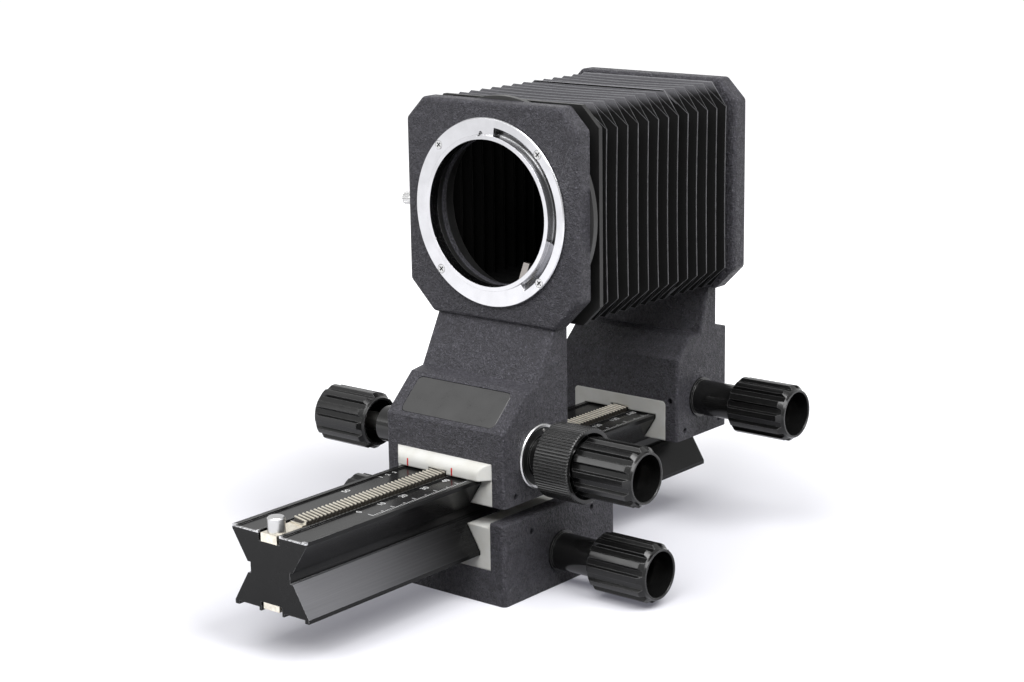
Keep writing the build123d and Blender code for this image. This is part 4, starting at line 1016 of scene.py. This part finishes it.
@dataclass
class Studio:
    """Camera, floor, world and soft lamps."""

    place: tuple = (0.4370, -0.5237, 0.2407)
    azimuth: float = 39.458
    elevation: float = 13.393
    roll: float = -0.888
    focal_pixels: float = 2138.098
    picture_width: float = 1024.0
    sensor: float = 36.0
    floor_half: float = 6.0
    world_light: float = 0.13
    lift_from: float = 0.06
    lift_to: float = 0.33
    lift_near: tuple = colour(0.10, 0.10, 0.12)
    lift_far: tuple = grey(0.95)
    floor_hidden: tuple = colour(0.16, 0.16, 0.17)
    floor_seen: tuple = colour(0.60, 0.60, 0.625)
    clip: tuple = (0.01, 50.0)
    aim: tuple = (0, 0.02, 0.08)
    lamps: tuple = (Lamp("top_softbox", (0.18, -0.60, 0.88), (0.62, 0.62), 10.0),
                    Lamp("left_softbox", (-0.5, -0.85, 0.6), (0.55, 0.55), 4.5),
                    Lamp("right_softbox", (0.62, -0.10, 0.74), (0.5, 0.5), 10.0))

    def camera(self) -> None:
        """Set the camera at the unit's front right."""
        az, el, roll = radians(self.azimuth), radians(self.elevation), radians(self.roll)
        ahead = Vector((-sin(az) * cos(el), cos(az) * cos(el), -sin(el)))
        right = Vector((cos(az), sin(az), 0))
        up = right.cross(ahead)
        across = right * cos(roll) + up * sin(roll)
        upward = up * cos(roll) - right * sin(roll)
        lens = bpy.data.cameras.new("main_camera")
        lens.sensor_fit, lens.sensor_width = "HORIZONTAL", self.sensor
        lens.lens = self.focal_pixels * self.sensor / self.picture_width
        lens.clip_start, lens.clip_end = self.clip
        camera = bpy.data.objects.new("main_camera", lens)
        bpy.context.scene.collection.objects.link(camera)
        turn = Matrix((across, upward, -ahead)).transposed()
        camera.matrix_world = Matrix.Translation(self.place) @ turn.to_4x4()
        bpy.context.scene.camera = camera

    def floor(self) -> None:
        """A floor that glows for camera, glossy and transmission rays, as painted light that is grey near
        the unit and white away from it, and keeps a grey shadow close to it.
        """
        nothing_selected()
        bpy.ops.mesh.primitive_plane_add(size=2 * self.floor_half, location=(0, 0, 0))
        floor = named("floor")
        recipe = Recipe("pale_floor")
        seen = self.seen_directly(recipe)
        here = recipe.node("ShaderNodeTexCoord", out="Object")
        away = recipe.node("ShaderNodeVectorMath", {"operation": "LENGTH"}, {0: here}, out="Value")
        recipe.set(Base_Color=recipe.mix(seen, self.floor_hidden, self.floor_seen),
                   Roughness=0.8, Specular_IOR_Level=0.0)
        # painted light: the floor's glow rises from grey near the unit to white away from it
        lift = recipe.mix(away.steps(self.lift_from, self.lift_to), self.lift_near, self.lift_far)
        glow = recipe.node("ShaderNodeEmission", None, {"Color": lift, "Strength": seen})
        both = recipe.node("ShaderNodeAddShader", None,
                           {0: Wire(recipe, recipe.shader.outputs[0]), 1: glow})
        recipe.feed(recipe.output.inputs["Surface"], both)
        floor.data.materials.append(recipe.material)

    def seen_directly(self, recipe: Recipe) -> Wire:
        """1 for camera, glossy and transmission rays, else 0."""
        rays = [recipe.node("ShaderNodeLightPath", out=name)
                for name in ("Is Camera Ray", "Is Glossy Ray", "Is Transmission Ray")]
        return (rays[0] + rays[1] + rays[2]).at_most(1.0)

    def world(self) -> None:
        """White surroundings, plain grey light."""
        world = bpy.data.worlds.new("studio")
        bpy.context.scene.world = world
        world.use_nodes = True
        tree = world.node_tree
        tree.nodes.clear()
        path = tree.nodes.new("ShaderNodeLightPath")
        seen = path.outputs["Is Camera Ray"]
        for name in ("Is Glossy Ray", "Is Transmission Ray"):
            either = tree.nodes.new("ShaderNodeMath")
            either.operation = "MAXIMUM"
            tree.links.new(seen, either.inputs[0])
            tree.links.new(path.outputs[name], either.inputs[1])
            seen = either.outputs[0]
        mix = tree.nodes.new("ShaderNodeMixShader")
        tree.links.new(seen, mix.inputs[0])
        for socket, strength in ((1, self.world_light), (2, 1.0)):
            shade = tree.nodes.new("ShaderNodeBackground")
            shade.inputs["Color"].default_value = grey(1.0)
            shade.inputs["Strength"].default_value = strength
            tree.links.new(shade.outputs[0], mix.inputs[socket])
        out = tree.nodes.new("ShaderNodeOutputWorld")
        tree.links.new(mix.outputs[0], out.inputs[0])

    def light(self, lamp: Lamp) -> None:
        """Hang one lamp, aimed at the unit's middle."""
        data = bpy.data.lights.new(lamp.name, "AREA")
        data.shape, data.energy = "RECTANGLE", lamp.power
        data.size, data.size_y = lamp.size
        hung = bpy.data.objects.new(lamp.name, data)
        bpy.context.scene.collection.objects.link(hung)
        ahead = Vector(self.aim) - Vector(lamp.at)
        turn = ahead.to_track_quat("-Z", "Y").to_matrix()
        hung.matrix_world = Matrix.Translation(lamp.at) @ turn.to_4x4()

    def build(self) -> None:
        """Camera, floor, world and lamps."""
        bpy.context.scene.view_settings.view_transform = "Standard"
        self.camera()
        self.floor()
        self.world()
        for lamp in self.lamps:
            self.light(lamp)


def main() -> None:
    """Build everything in order."""
    logging.basicConfig(level=logging.INFO, format="%(message)s")
    Studio().build()
    shop = Shop()
    CadDress(shop).build()
    log.info("finishes on the CAD nodes")
    for maker in (Bellows(shop), FocusMarks(shop), RailScales(shop)):
        for piece in maker.build():
            log.info("%s: %d faces", piece.name, len(piece.data.polygons))


if __name__ == "__main__":
    main()
